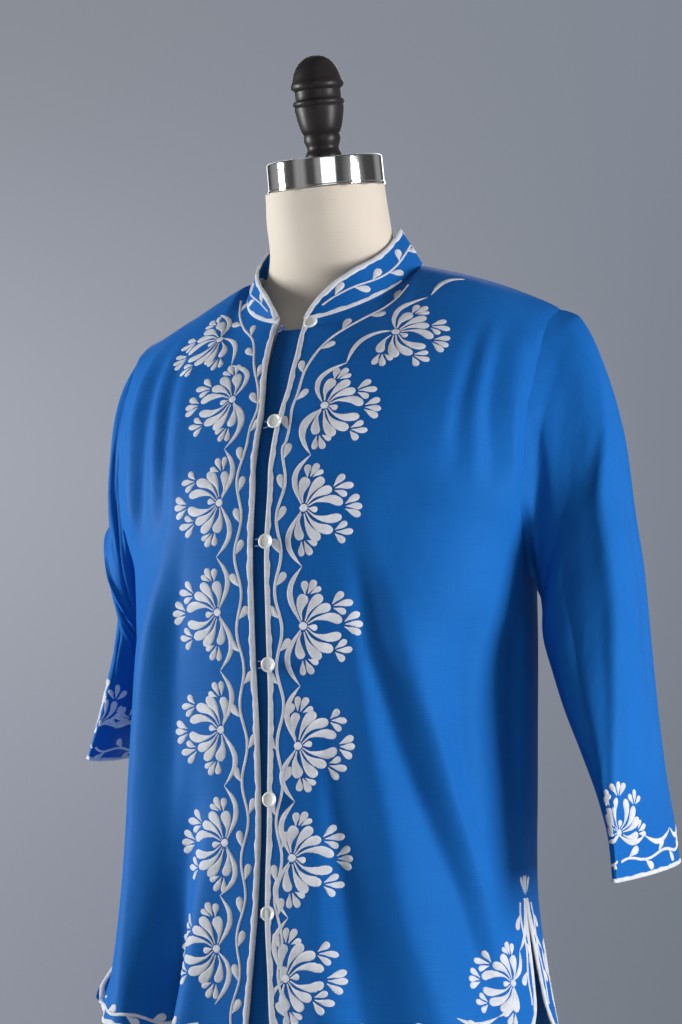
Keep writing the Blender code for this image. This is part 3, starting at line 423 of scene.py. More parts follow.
# Folds that fall from the bust and the shoulders, in millimetres: at each height, where their
# crests and valleys are and how far these stand out
PLEATS = {
    "front_left": (
        ((232, 66, 7, 100, -7, 155, 8, 186, -3, 192, 0, 198, 0),
         (280, 60, 6.5, 90, -6.5, 140, 9, 178, -5, 186, 0, 192, 1),
         (320, 56, 6, 81, -6, 126, 9.5, 168, -7, 178, 1, 188, 0),
         (360, 54, 5, 75, -5, 117, 9.5, 158, -7, 170, 3, 179, -1),
         (400, 52, 3.5, 69, -3.5, 111, 9, 144, -7, 162, 6, 172, -4),
         (440, 50, 2, 63, -2, 104, 8, 129, -6, 152, 7.5, 166, -7),
         (480, 48, 0.5, 60, -1, 96, 7, 115, -4.5, 143, 9, 161, -10),
         (520, 46, 0, 57, 0, 90, 5.5, 104, -3.5, 132, 9, 160, -11),
         (560, 44, 0, 55, 0, 84, 3.5, 93, -2, 123, 8.5, 163, -9),
         (600, 42, 0, 52, 0, 78, 1.5, 88, -1.5, 113, 7, 180, -1),
         (640, 40, 0, 50, 0, 72, 0, 82, 0, 99, 4, 188, 3),
         (690, 38, 0, 48, 0, 66, 0, 76, 0, 92, 0, 192, 1)),
        ((690, 140, 0, 158, 0, 172, 0, 184, 0, 197, 0, 206, 0),
         (720, 146, 1.6, 160, -1, 172, 1.4, 183, -3, 198, 2.4, 206, 0),
         (760, 150, 2.4, 159, -1.4, 171, 2.2, 180, -3, 196, 3, 206, 0),
         (800, 152, 2, 161, -1.4, 171, 2, 179, -2, 194, 2, 206, 0),
         (850, 152, 0, 164, 0, 171, 0, 179, 0, 192, 0, 206, 0)),
    ),
    "front_right": (
        ((232, -200, -6, -182, -7, -136, 16, -110, 0, -88, -2, -60, 0),
         (320, -198, -7, -180, -8, -134, 17, -102, 0, -84, -4, -60, 0),
         (380, -196, -7, -178, -8, -131, 17.5, -96, 0, -76, -4, -55, 0),
         (440, -194, -7, -176, -8, -128, 17.5, -92, 0, -70, -1, -50, 0),
         (520, -190, -6, -172, -8, -122, 16.5, -90, 0, -66, 0, -50, 0),
         (570, -190, -4, -165, -6, -115, 14.5, -87, 0, -64, 0, -50, 0),
         (600, -190, -2, -158, -6, -109, 12, -83, 0, -62, 0, -50, 0),
         (640, -190, 0, -148, -5, -101, 6, -80, 0, -60, 0, -50, 0),
         (680, -190, 0, -140, -1, -98, 0, -76, 0, -60, 0, -50, 0)),
        ((660, -176, 0, -152, 0, -140, 0, -122, 0, -108, 0, -96, 0, -80, 0),
         (700, -178, -4, -154, 5, -140, -3, -122, 3, -108, -2, -97, 1.2, -82, 0),
         (750, -182, -4, -160, 5.5, -144, -3, -126, 4, -113, -2.6, -102, 1.6, -86, 0),
         (800, -184, -2, -166, 4, -149, -3, -133, 3.6, -119, -2, -106, 1, -90, 0),
         (855, -184, 0, -168, 0, -152, 0, -136, 0, -122, 0, -108, 0, -92, 0)),
    ),
}
EDGE_BACK = 0.0014  # by how much the cord's outer half is wider than the cloth under it
COLUMNS = 56  # across half a panel
HEM_ROWS, SLIT_ROWS, SIDE_ROWS, ARM_ROWS = 18, 30, 66, 48  # at the hem, by the slit, by the side seam, by the armhole
BAR_ROWS = 4  # of the slit, closed by a bar of stitches at its top
CREASE_SIZE = 0.0018  # metres that stand for one millimetre of BACK_CREASES' depth
CREASE_ENDS = 0.22  # share of a crease over which it fades at each end
SHARP_FALL = 1.7  # how fast a sharp crease falls away beside its line
FADE_COLUMNS, FADE_ROWS = 4, 4  # by the side seams, and above the slits


def read(table, at):
    """The rest of a table's columns at these places of its first one."""
    table = np.array(table)
    values = table[:, 1] if table.shape[1] == 2 else table[:, 1:]
    return smooth(table[:, 0], values, at)


def unit(vectors):
    return vectors / np.maximum(np.linalg.norm(vectors, axis=-1, keepdims=True), 1e-12)


def curve_row(row, across):
    """Points of one level of a half panel, from its middle to its outer end."""
    turn = radians(row["turn"])
    x = row["side_x"] * np.sin(across * turn) / sin(turn)
    bend = np.clip((1 - np.cos(across * turn)) / (1 - cos(turn)), 0, None) ** FRONT_SQUARE
    y = row["mid_y"] + (row["side_y"] - row["mid_y"]) * bend
    z = row["mid_z"] + (row["side_z"] - row["mid_z"]) * across**2
    return np.stack([x, y, z], axis=1)


def top_row(across, mid_y, mid_z, side):
    """The neckline as far as NECK_SHARE, then the shoulder seam."""
    turn = np.clip(across / NECK_SHARE, 0, 1) * pi / 2
    x = NECK_X * np.sin(turn)
    y = mid_y + (NECK_SIDE_Y - mid_y) * (1 - np.cos(turn))
    z = mid_z + (NECK_SIDE_Z - mid_z) * (1 - np.cos(turn))
    along = np.clip((across - NECK_SHARE) / (1 - NECK_SHARE), 0, 1)[:, None]
    seam = np.array([SHOULDER_X - NECK_X, SHOULDER_Y - NECK_SIDE_Y, SHOULDER_Z - NECK_SIDE_Z])
    bow = np.array([0, 0, SEAM_BOW[side]]) * np.sin(along * pi)
    return np.stack([x, y, z], axis=1) + along * seam + bow


class HalfPanel:
    """Half of the front or the back: a smooth surface from its middle to its side, hem to shoulder."""

    def __init__(self, part, side):
        self.part, self.side = part, side
        self.way = -1 if part == "front" else 1
        table = FRONT_ROWS if part == "front" else BACK_ROWS
        self.mid_y = NECK_FRONT_Y if part == "front" else NECK_BACK_Y
        self.mid_z = NECK_FRONT_Z if part == "front" else NECK_BACK_Z
        self.rows = [dict(zip(ROW, values)) for values in table]
        self.keys = [row["level"] for row in self.rows] + [NEAR_TOP_LEVEL, 1.0]

    def smooth_row(self, level, across):
        """One level's points, before any fold."""
        curves = [curve_row(row, across) for row in self.rows]
        top = top_row(across, self.mid_y, self.mid_z, self.side)
        near = top + read(NEAR_TOP, across) * np.array([1, self.way, 1])
        points = smooth(self.keys, np.array(curves + [near, top]), [level])[0]
        swing = max(0, 1 - level / SLIT_LEVEL) ** FLARE_CURVE * np.clip(across, 0, 1)[:, None] ** 3
        points = (points + swing * np.array(FLARE[self.part, self.side])) * np.array([self.side, 1, 1])
        if self.part == "front":
            drift = read(EDGES, [points[0, 2]])[0, 1]
            points[:, 0] += drift * np.clip(1 - across / NECK_SHARE, 0, 1) ** 2
        return points

    def start(self, level):
        """Share of the width where this level begins: the front's edge stands off the middle."""
        if self.part == "back":
            return 0.0
        near = self.smooth_row(level, np.array([0.0, 0.02]))
        return float((read(EDGES, [near[0, 2]])[0, 0] + EDGE_BACK) * 0.02 / abs(near[1, 0] - near[0, 0]))

    def end(self, level):
        """Share of the width where this level ends: less than 1 at a rounded hem corner."""
        height = self.smooth_row(level, np.array([1.0]))[0, 2] - self.smooth_row(0, np.array([1.0]))[0, 2]
        if height >= CORNER_R:
            return 1.0
        cut = CORNER_R - (CORNER_R**2 - (CORNER_R - height) ** 2) ** 0.5
        return 1 - cut / HALF_HEM

    def fold(self, points, across):
        """How far each point is moved out by the folds near it, fading at the seams."""
        x, z = points[:, 0], points[:, 2]
        moved = np.zeros(len(points))
        for values in BODY_FOLDS:
            fold = dict(zip(FOLD, values))
            if fold["part"] != self.part:
                continue
            dx, dz = fold["x2"] - fold["x1"], fold["z2"] - fold["z1"]
            length = (dx * dx + dz * dz) ** 0.5
            along = np.clip(((x - fold["x1"]) * dx + (z - fold["z1"]) * dz) / length**2, 0, 1)
            aside = ((x - fold["x1"]) * dz - (z - fold["z1"]) * dx) / length
            grow = along * along * (3 - 2 * along)
            if fold["z2"] > HEM_Z:
                grow = np.sin(along * pi) ** 2
            moved += fold["depth"] * grow * np.exp(-((aside / fold["half_width"]) ** 2))
        fade = np.clip((1 - across) / SIDE_FADE, 0, 1)
        return moved * fade * fade * (3 - 2 * fade)

    def row(self, level, across):
        """One level's points, folds and all."""
        points = self.smooth_row(level, across)
        ahead, behind = self.smooth_row(level, across + 0.01), self.smooth_row(level, across - 0.01)
        above = self.smooth_row(min(level + 0.01, 1), across)
        below = self.smooth_row(max(level - 0.01, 0), across)
        out = unit(np.cross(ahead - behind, above - below)) * self.side * -self.way
        return points + out * self.fold(points, across)[:, None]

    def grid(self, levels):
        """Points in even columns, from the middle or the front's edge to the side."""
        shares = np.arange(COLUMNS + 1) / COLUMNS
        rows = []
        for level in levels:
            first, last = self.start(level), self.end(level)
            across = shares + first * np.clip(1 - shares / NECK_SHARE, 0, 1)
            drawn = STEADY_SHARE + (across - STEADY_SHARE) * (last - STEADY_SHARE) / (1 - STEADY_SHARE)
            rows.append(self.row(level, np.where(across > STEADY_SHARE, drawn, across)))
        return np.array(rows)


def normals_of(grid, outward):
    """Unit normals of a grid of points, turned to the side that "outward" points to at its middle."""
    normal = unit(np.cross(np.gradient(grid, axis=1), np.gradient(grid, axis=0)))
    i, j = grid.shape[0] // 2, grid.shape[1] // 2
    return normal if normal[i, j] @ np.array(outward, float) > 0 else -normal


def travelled(points):
    """How far each point of a line, or of each row of a grid, is along it."""
    steps = np.linalg.norm(np.diff(points, axis=-2), axis=-1)
    return np.concatenate([np.zeros((*steps.shape[:-1], 1)), np.cumsum(steps, axis=-1)], axis=-1)


def rest_on(grid, tree, clearance):
    """Points of the cloth that are too close to the form are moved out until they lie on it."""
    for i in range(grid.shape[0]):
        for j in range(grid.shape[1]):
            near, normal, _, _ = tree.find_nearest(Vector(grid[i, j]))
            offset = Vector(grid[i, j]) - near
            height = offset.length if offset.dot(normal) > 0 else -offset.length
            if height < clearance:
                grid[i, j] = np.array(near + normal * clearance)


def creased(places, creases):
    """How far points of the cloth, at these flat places of theirs, are moved out by creases."""
    moved = np.zeros(places.shape[:-1])
    for half_width, depth, sharp, line in creases:
        line = np.array(line, float)
        best = np.full(moved.shape, 1e9)
        share = np.zeros(moved.shape)
        run = travelled(line)
        for k in range(len(line) - 1):
            span = line[k + 1] - line[k]
            t = np.clip(((places - line[k]) @ span) / (span @ span), 0, 1)
            away = np.linalg.norm(places - line[k] - t[..., None] * span, axis=-1)
            nearer = away < best
            best = np.where(nearer, away, best)
            share = np.where(nearer, (run[k] + t * (run[k + 1] - run[k])) / run[-1], share)
        ends = np.clip(np.minimum(share, 1 - share) / CREASE_ENDS, 0, 1)
        aside = best / half_width
        form = (1 - sharp) * np.exp(-aside * aside) + sharp * np.exp(-SHARP_FALL * aside)
        moved += depth * form * ends * ends * (3 - 2 * ends)
    return moved


def pleated(x, z, table):
    """How far points of a front, at these places in millimetres, stand out on its falling folds."""
    keyed = read(table, z.ravel()).reshape(*z.shape, -1)
    lines, heights = keyed[..., 0::2], keyed[..., 1::2]
    moved = np.where(x < lines[..., 0], heights[..., 0], heights[..., -1])
    for k in range(lines.shape[-1] - 1):
        share = (x - lines[..., k]) / (lines[..., k + 1] - lines[..., k])
        rise = 0.5 * share + 0.5 * share * share * (3 - 2 * share)
        inside = (share >= 0) & (share < 1)
        moved = np.where(inside, heights[..., k] + (heights[..., k + 1] - heights[..., k]) * rise, moved)
    return moved


levels = np.concatenate([np.linspace(0, HEM_LEVEL, HEM_ROWS), np.linspace(HEM_LEVEL, SLIT_LEVEL, SLIT_ROWS)[1:],
                         np.linspace(SLIT_LEVEL, ARMPIT_LEVEL, SIDE_ROWS)[1:],
                         np.linspace(ARMPIT_LEVEL, 1, ARM_ROWS + 1)[1:]])
slit_row = HEM_ROWS + SLIT_ROWS - 2 - BAR_ROWS
armpit_row = slit_row + BAR_ROWS + SIDE_ROWS - 1
body = bmesh.new()
body.from_mesh(frame["nodes"]["form_torso"].data)
form = BVHTree.FromBMesh(body)
body.free()
halves = {}
for part in ("front", "back"):
    for side in (LEFT, RIGHT):
        halves[part, side] = HalfPanel(part, side).grid(levels)
        rest_on(halves[part, side], form, REST_ON_FORM + WALL / 2)
grids = {"front_left": halves["front", LEFT], "front_right": halves["front", RIGHT],
         "back": np.concatenate([halves["back", RIGHT][:, ::-1], halves["back", LEFT][:, 1:]], axis=1)}
walls = {name: normals_of(grid, (0, 1 if name == "back" else -1, 0)) for name, grid in grids.items()}
for name, grid in grids.items():
    from_seam = COLUMNS - np.abs(np.arange(grid.shape[1]) - (COLUMNS if name == "back" else 0))
    fade = np.clip(from_seam / FADE_COLUMNS, 0, 1)
    moved = creased(grid[..., 0::2] * 1000, BACK_CREASES if name == "back" else ()) * CREASE_SIZE
    for table in PLEATS.get(name, ()):
        moved += pleated(grid[..., 0] * 1000, grid[..., 2] * 1000, table) / 1000
    moved *= fade * fade * (3 - 2 * fade)
    grid += walls[name] * moved[..., None]
    rest_on(grid, form, REST_ON_FORM + WALL / 2)
    walls[name] = normals_of(grid, (0, 1 if name == "back" else -1, 0))
neck_column = round(COLUMNS * NECK_SHARE)
for name, side in (("front_left", LEFT), ("front_right", RIGHT)):
    pairs = [((i, -1), (i, COLUMNS * (1 + side))) for i in range(slit_row, armpit_row + 1)]
    pairs += [((-1, j), (-1, COLUMNS + side * j)) for j in range(neck_column, COLUMNS + 1)]
    for one, other in pairs:
        walls[name][one] = walls["back"][other] = unit(walls[name][one] + walls["back"][other])
        grids[name][one] = grids["back"][other] = (grids[name][one] + grids["back"][other]) / 2
        grids[name][one] -= np.array([0, SEAM_GAP / 2, 0])
        grids["back"][other] += np.array([0, SEAM_GAP / 2, 0])

# The cloth draws in along a seam and puckers a little beside it
PUCKER, PUCKER_REACH, SEAM_DIP, SEAM_REACH = 0.0005, 0.012, 0.0011, 0.0030


def pucker(away, along, phase):
    """How far cloth moves out at this distance from a seam and this far along it."""
    ripple = np.sin(along / 0.0061 + phase) + 0.6 * np.sin(along / 0.0097 + 2.1 * phase) + 0.5 * np.sin(along / 0.0038)
    near = np.exp(-(away / PUCKER_REACH) ** 2) * (1 - np.exp(-(away / SEAM_REACH) ** 2))
    return PUCKER * ripple * near - SEAM_DIP * np.exp(-(away / SEAM_REACH) ** 2)


for name, grid in grids.items():
    ends = (0, -1) if name == "back" else (-1,)
    for end in ends:
        away = np.abs(travelled(grid) - (0 if end == 0 else travelled(grid)[:, -1:]))
        along = travelled(grid[:, end])[:, None] + 0 * away
        fade = np.clip((np.arange(len(levels)) - slit_row) / FADE_ROWS, 0, 1)[:, None]
        moved = pucker(away, along, 1.0 + end) * fade
        moved[:, end] = np.minimum(moved[:, end], 0)
        grids[name] = grid = grid + walls[name] * moved[..., None]


def woven(name, outer, wall, finish, around=False):
    """Cloth on a grid of points: faces outward, measured in metres along it, thickened inward."""
    rows, columns = outer.shape[:2]
    last = columns if around else columns - 1
    faces = []
    for i in range(rows - 1):
        for j in range(last):
            a, b = i * columns + j, i * columns + (j + 1) % columns
            faces.append((a, b, b + columns, a + columns))
    mesh = bpy.data.meshes.new(name)
    i, j = rows // 2, columns // 2
    turn = np.cross(outer[i, j + 1] - outer[i, j], outer[i + 1, j] - outer[i, j]) @ wall[i, j]
    if turn < 0:
        faces = [tuple(reversed(face)) for face in faces]
    mesh.from_pydata(outer.reshape(-1, 3).tolist(), [], faces)
    closed = np.concatenate([outer, outer[:, :1]], axis=1) if around else outer
    across = travelled(closed)
    up = travelled(outer.transpose(1, 0, 2)).T
    seam = mesh.uv_layers.new(name="cloth")
    for loop in mesh.loops:
        row, column = divmod(loop.vertex_index, columns)
        seam.data[loop.index].uv = (across[row, column], up[row, column])
    if around:
        for face in mesh.polygons:
            corners = [mesh.loops[k].vertex_index % columns for k in face.loop_indices]
            if 0 in corners and columns - 1 in corners:
                for k, corner in zip(face.loop_indices, corners):
                    if corner == 0:
                        row = mesh.loops[k].vertex_index // columns
                        seam.data[k].uv = (across[row, -1], up[row, 0])
    piece = bpy.data.objects.new(name, mesh)
    bpy.context.collection.objects.link(piece)
    alone(piece)
    mesh.shade_smooth()
    wall_of = piece.modifiers.new("cloth", "SOLIDIFY")
    wall_of.thickness, wall_of.offset = CLOTH, -1
    bpy.ops.object.modifier_apply(modifier=wall_of.name)
    bpy.ops.object.shade_smooth_by_angle(angle=radians(50))
    settle(piece, name, finish, "poplin")
    return piece


# Plain weave: fine warp and weft with an uneven yarn here and there
weave, weave_in, weave_out = effect("poplin weave", [("Depth", "NodeSocketFloat", 0.00004)],
                                    [("Normal", "NodeSocketVector"), ("Yarn", "NodeSocketFloat")])
place = add(weave, "ShaderNodeUVMap", uv_map="cloth")
warp, weft = (add(weave, "ShaderNodeMapping", {"Vector": place.outputs["UV"], "Scale": threads_per_metre})
              for threads_per_metre in ((2600.0, 30.0, 1.0), (24.0, 2200.0, 1.0)))
yarns = worked_out(weave, "ADD", noise(weave, warp.outputs["Vector"], 1.0), noise(weave, weft.outputs["Vector"], 1.0))
crumple = worked_out(weave, "MULTIPLY", noise(weave, place.outputs["UV"], 26.0), 0.0010)
bumped(weave, weave_out, worked_out(weave, "MULTIPLY_ADD", yarns, weave_in.outputs["Depth"], crumple), 1.0, 1.0)
weave.links.new(yarns, weave_out.inputs["Yarn"])


def poplin(name, tone, other):
    """Blue poplin with a soft polish."""
    finish, tree, shader = material(name, 0.55, Sheen_Weight=0.03, Sheen_Roughness=0.40, Specular_IOR_Level=0.09)
    shader.inputs["Sheen Tint"].default_value = (0.05, 0.40, 1.0, 1)
    shader.inputs["Specular Tint"].default_value = (0.12, 0.50, 1.0, 1)
    drift = tinted(tree, shader, tone, other, 7.0)
    cloth = tree.nodes.new("ShaderNodeGroup")
    cloth.node_tree = weave
    ribbed(tree, shader, drift.outputs["Color"], cloth.outputs["Yarn"], 0.7, 1.3, 0.90, 1.10)
    tree.links.new(cloth.outputs["Normal"], shader.inputs["Normal"])
    return finish


blue = poplin("blue poplin", (0.0105, 0.118, 0.420), (0.0088, 0.108, 0.395))
outers = {name: grid + walls[name] * WALL / 2 for name, grid in grids.items()}

# Sleeves: each one piece of the poplin, sewn into the armhole and up the underarm, three-quarter
# length with a pressed crease. The left one hangs free, the right one is drawn back at the elbow.
# Metres, then how far the ring is drawn to a crease, turned outward in front and squared there
RING = ("outer_x", "outer_z", "inner_x", "inner_z", "mid_y", "half_depth", "crease", "turned", "square")
LEFT_RINGS = (
    (0.2635, 0.756, 0.2020, 0.586, 0.022, 0.047, 0.05, 0.10, 0.2),
    (0.2715, 0.690, 0.2060, 0.566, 0.019, 0.056, 0.15, 0.12, 0.7),
    (0.2815, 0.630, 0.2120, 0.544, 0.018, 0.063, 0.25, 0.05, 0.8),
    (0.287, 0.570, 0.2220, 0.512, 0.019, 0.067, 0.30, 0.00, 0.8),
    (0.291, 0.510, 0.2380, 0.474, 0.021, 0.066, 0.35, 0.00, 0.6),
    (0.295, 0.450, 0.2560, 0.433, 0.023, 0.066, 0.45, 0.02, 0.3),
    (0.297, 0.408, 0.2680, 0.401, 0.025, 0.065, 0.50, 0.06, 0.1),
    (0.297, 0.375, 0.2730, 0.373, 0.027, 0.065, 0.45, 0.08, 0.0),
)
RIGHT_RINGS = (
    (0.221, 0.824, 0.1985, 0.608, 0.020, 0.054, 0.00, 0.00, 0.0),
    (0.226, 0.765, 0.2000, 0.598, 0.028, 0.055, 0.05, 0.00, 0.0),
    (0.235, 0.715, 0.2010, 0.588, 0.036, 0.055, 0.10, 0.00, 0.0),
    (0.243, 0.686, 0.2020, 0.578, 0.043, 0.055, 0.10, 0.00, 0.0),
    (0.241, 0.664, 0.2030, 0.565, 0.050, 0.053, 0.10, 0.00, 0.0),
    (0.235, 0.636, 0.2040, 0.553, 0.054, 0.054, 0.15, 0.00, 0.0),
    (0.237, 0.600, 0.2070, 0.538, 0.054, 0.059, 0.25, 0.02, 0.0),
    (0.246, 0.550, 0.2160, 0.516, 0.051, 0.062, 0.35, 0.06, 0.0),
    (0.259, 0.482, 0.2420, 0.474, 0.048, 0.061, 0.40, 0.10, 0.0),
)
CUFF_TILT, CORNER_REACH = 0.12, 0.94
SLEEVE_ROWS = 118
LEFT_HEAD = (0.018, 0.011, 0.004)  # outward, towards the armhole's middle, down
# Creases of a sleeve: half width and depth in millimetres, how sharp, then places along each, as a
# share of the way round from the underarm by the front and a share of the way down
ROUND_MM, DOWN_MM = 400, 450
LEFT_SLEEVE_CREASES = (
    (8, 2.6, 0.3, ((0.479, 0.06), (0.465, 0.15), (0.44, 0.222), (0.42, 0.27), (0.40, 0.33), (0.39, 0.50), (0.362, 0.66),
                   (0.32, 0.80), (0.275, 0.92), (0.255, 1.16))),
    (22, -5.0, 0, ((0.27, 0.26), (0.26, 0.36), (0.25, 0.50), (0.235, 0.66), (0.20, 0.86))),
    (14, 2.4, 0, ((0.20, 0.42), (0.16, 0.56), (0.17, 0.72))),
    (14, -4.0, 0, ((0.80, 0.16), (0.88, 0.36), (0.93, 0.60))),
    (12, 2.6, 0.3, ((0.72, 0.14), (0.79, 0.34), (0.84, 0.60), (0.84, 0.84))),
    (12, -2.2, 0, ((0.66, 0.10), (0.70, 0.36), (0.76, 0.66))),
    (9, 3.0, 0.7, ((0.86, 0.60), (0.87, 0.80), (0.87, 1.10))),
)
RIGHT_SLEEVE_CREASES = (
    (5, 4.4, 0.5, ((0.06, 0.43), (0.16, 0.405), (0.30, 0.405), (0.46, 0.415), (0.60, 0.43))),
    (7, -6.0, 0.3, ((0.06, 0.465), (0.16, 0.445), (0.30, 0.445), (0.46, 0.455), (0.60, 0.47))),
    (10, 2.4, 0.3, ((0.24, 0.46), (0.17, 0.54), (0.14, 0.66), (0.16, 0.82))),
    (12, -3.0, 0, ((0.32, 0.48), (0.27, 0.60), (0.24, 0.76))),
    (10, -2.6, 0, ((0.22, 0.06), (0.16, 0.20), (0.12, 0.34))),
    (10, 2.2, 0, ((0.30, 0.05), (0.26, 0.20), (0.24, 0.34))),
    (12, -2.4, 0, ((0.44, 0.10), (0.42, 0.24), (0.40, 0.36))),
    (12, -3.4, 0, ((0.84, 0.16), (0.88, 0.34), (0.92, 0.50))),
    (10, 2.4, 0.3, ((0.72, 0.14), (0.78, 0.30), (0.84, 0.44))),
    (10, -2.4, 0, ((0.62, 0.34), (0.72, 0.46), (0.82, 0.56))),
)


def sleeve_rings(table, side, count):
    """Rings of one sleeve below the armhole, each from the underarm round the front to the underarm."""
    turn = -pi / 2 + 2 * pi * np.arange(count) / count
    rings = []
    for values in table:
        ring = dict(zip(RING, values))
        outer = np.array([ring["outer_x"], ring["mid_y"], ring["outer_z"]])
        inner = np.array([ring["inner_x"], ring["mid_y"], ring["inner_z"]])
        middle = outer + (inner - outer) * 0.5
        lean = np.array([ring["turned"], 1, CUFF_TILT]) * ring["half_depth"]
        corner = CORNER_REACH * ring["square"] * np.clip(np.sin(turn), 0, 1) ** 4 * np.clip(np.cos(turn), 0, 1)
        across = np.sin(turn) * np.abs(np.sin(turn)) ** ring["crease"] + corner
        reach = np.where(across[:, None] > 0, outer - middle, middle - inner)
        points = middle - (np.cos(turn) + corner)[:, None] * lean + across[:, None] * reach
        rings.append(points * np.array([side, 1, 1]))
    return np.array(rings)


def ring_normals(grid):
    """Outward normals of a tube's rings."""
    ring = np.concatenate([grid[:, -1:], grid, grid[:, :1]], axis=1)
    wall = unit(np.cross(np.gradient(ring, axis=1), np.gradient(ring, axis=0)))[:, 1:-1]
    away = unit(grid - grid.mean(axis=1, keepdims=True))
    return wall * np.sign((wall * away).sum(axis=2).mean())


def seamed(edge, edge_wall, own, own_wall, closed):
    """Shares the wall's direction between an edge and what is sewn to it, and parts them a little."""
    shared = unit(edge_wall + own_wall)
    run = np.roll(edge, -1, axis=0) - np.roll(edge, 1, axis=0) if closed else np.gradient(edge, axis=0)
    apart = unit(np.cross(unit(run), shared))
    if ((own - edge) * apart).sum() < 0:
        apart = -apart
    return shared, edge + apart * SEAM_GAP


def sleeve(table, side, creases, head):
    """A tube on the armhole's edge: its middle surface and normals. "head" is how far it first goes."""
    name = "front_left" if side == LEFT else "front_right"
    edge = -1 if side == LEFT else 0
    hole, hole_wall = (np.concatenate([kept[name][armpit_row:, -1], kept["back"][armpit_row:, edge][1:-1][::-1]])
                       for kept in (grids, walls))
    keyed = np.concatenate([[hole], sleeve_rings(table, side, len(hole))])
    if head:
        turn = -pi / 2 + 2 * pi * np.arange(len(hole)) / len(hole)
        away = np.stack([side * head[0] * (0.6 + 0.4 * np.sin(turn)), head[1] * np.cos(turn),
                         -head[2] * (1 + np.clip(np.sin(turn), 0, 1))], axis=-1)
        keyed = np.concatenate([keyed[:1], [hole + away], keyed[1:]])
    reach = np.linalg.norm(np.diff(keyed.mean(axis=1), axis=0), axis=1)
    keys = np.concatenate([[0], np.cumsum(reach)]) / reach.sum()
    down = np.linspace(0, 1, SLEEVE_ROWS)
    grid = smooth(keys, keyed, down)
    wall = ring_normals(grid)
    round_it = np.arange(len(hole)) / len(hole)
    places = np.stack(np.meshgrid(round_it * ROUND_MM, down * DOWN_MM), axis=-1)
    lines = [(half, depth, sharp, np.array(line) * (ROUND_MM, DOWN_MM)) for half, depth, sharp, line in creases]
    moved = creased(places, lines) / 1000 * np.clip(down / 0.03, 0, 1)[:, None]
    away = travelled(grid.transpose(1, 0, 2)).T
    moved += pucker(away, travelled(hole)[None, :] + 0 * away, 2.0)
    grid = grid + wall * moved[..., None]
    wall = ring_normals(grid)
    shared, first = seamed(hole, hole_wall, grid[1], wall[0], closed=True)
    grid[0], wall[0] = first, shared
    rise = len(grids[name]) - armpit_row
    walls[name][armpit_row:, -1] = shared[:rise]
    walls["back"][armpit_row:, edge] = np.concatenate([shared[:1], shared[rise:][::-1], shared[rise - 1:rise]])
    return grid, wall


sleeves = {"sleeve_left": sleeve(LEFT_RINGS, LEFT, LEFT_SLEEVE_CREASES, LEFT_HEAD),
           "sleeve_right": sleeve(RIGHT_RINGS, RIGHT, RIGHT_SLEEVE_CREASES, None)}

# Collar: a stand of two layers of the poplin with rounded front ends, sewn into the neckline. It
# stands up round the neck and leans in to it at the sides.
COLLAR_ROWS = 16
# Share of the way from a front end to the back, height on the left and right, lean on the left and right
COLLAR = (
    (0.00, 0.006, 0.006, 0.001, 0.001), (0.02, 0.014, 0.014, 0.002, 0.001),
    (0.06, 0.024, 0.023, 0.003, 0.003), (0.12, 0.033, 0.029, 0.006, 0.006),
    (0.22, 0.038, 0.031, 0.010, 0.009), (0.50, 0.037, 0.029, 0.0215, 0.011),
    (0.75, 0.035, 0.033, 0.024, 0.012), (1.00, 0.034, 0.034, 0.012, 0.012),
)
last = neck_column + 1
middle = slice(COLUMNS + 1 - neck_column, COLUMNS + neck_column)
edge, rim_wall = (np.concatenate([table["front_right"][-1, :last], table["back"][-1, middle],
                                  table["front_left"][-1, :last][::-1]]) for table in (grids, walls))
length = travelled(edge)
half = length[-1] / 2
sizes = read(COLLAR, 1 - np.abs(1 - length / half))
height, lean = np.where((length > half)[:, None], sizes[:, 0::2], sizes[:, 1::2]).T
inward = unit((np.array([0, NECK_SIDE_Y, 0]) - edge) * np.array([1, 1, 0]))
stand = np.array([edge + np.array([0, 0, 1]) * (height * up)[:, None] + inward * (lean * up**1.2)[:, None]
                  for up in np.linspace(0, 1, COLLAR_ROWS)])
rest_on(stand[1:], form, 2 * REST_ON_FORM + WALL / 2)
stand_wall = normals_of(stand, (0, -1, 0))
stand_wall *= np.sign((stand_wall * -inward).sum(axis=2).mean())
shared, first = seamed(edge, rim_wall, stand[1], stand_wall[0], closed=False)
stand[0], stand_wall[0] = first, shared
outer_stand = stand + stand_wall * WALL / 2

for name in ("front_left", "front_right", "back"):
    outers[name] = grids[name] + walls[name] * WALL / 2
    woven(name + "_cloth", outers[name], walls[name], blue)
    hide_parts(name)
for name, (grid, wall) in sleeves.items():
    outers[name] = grid + wall * WALL / 2
    woven(name + "_cloth", outers[name], wall, blue, around=True)
    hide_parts(name)
outers["collar"] = outer_stand
collar = woven("collar_cloth", outer_stand, stand_wall, blue)
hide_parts("collar")
walls["collar"] = stand_wall
walls.update({name: wall for name, (grid, wall) in sleeves.items()})

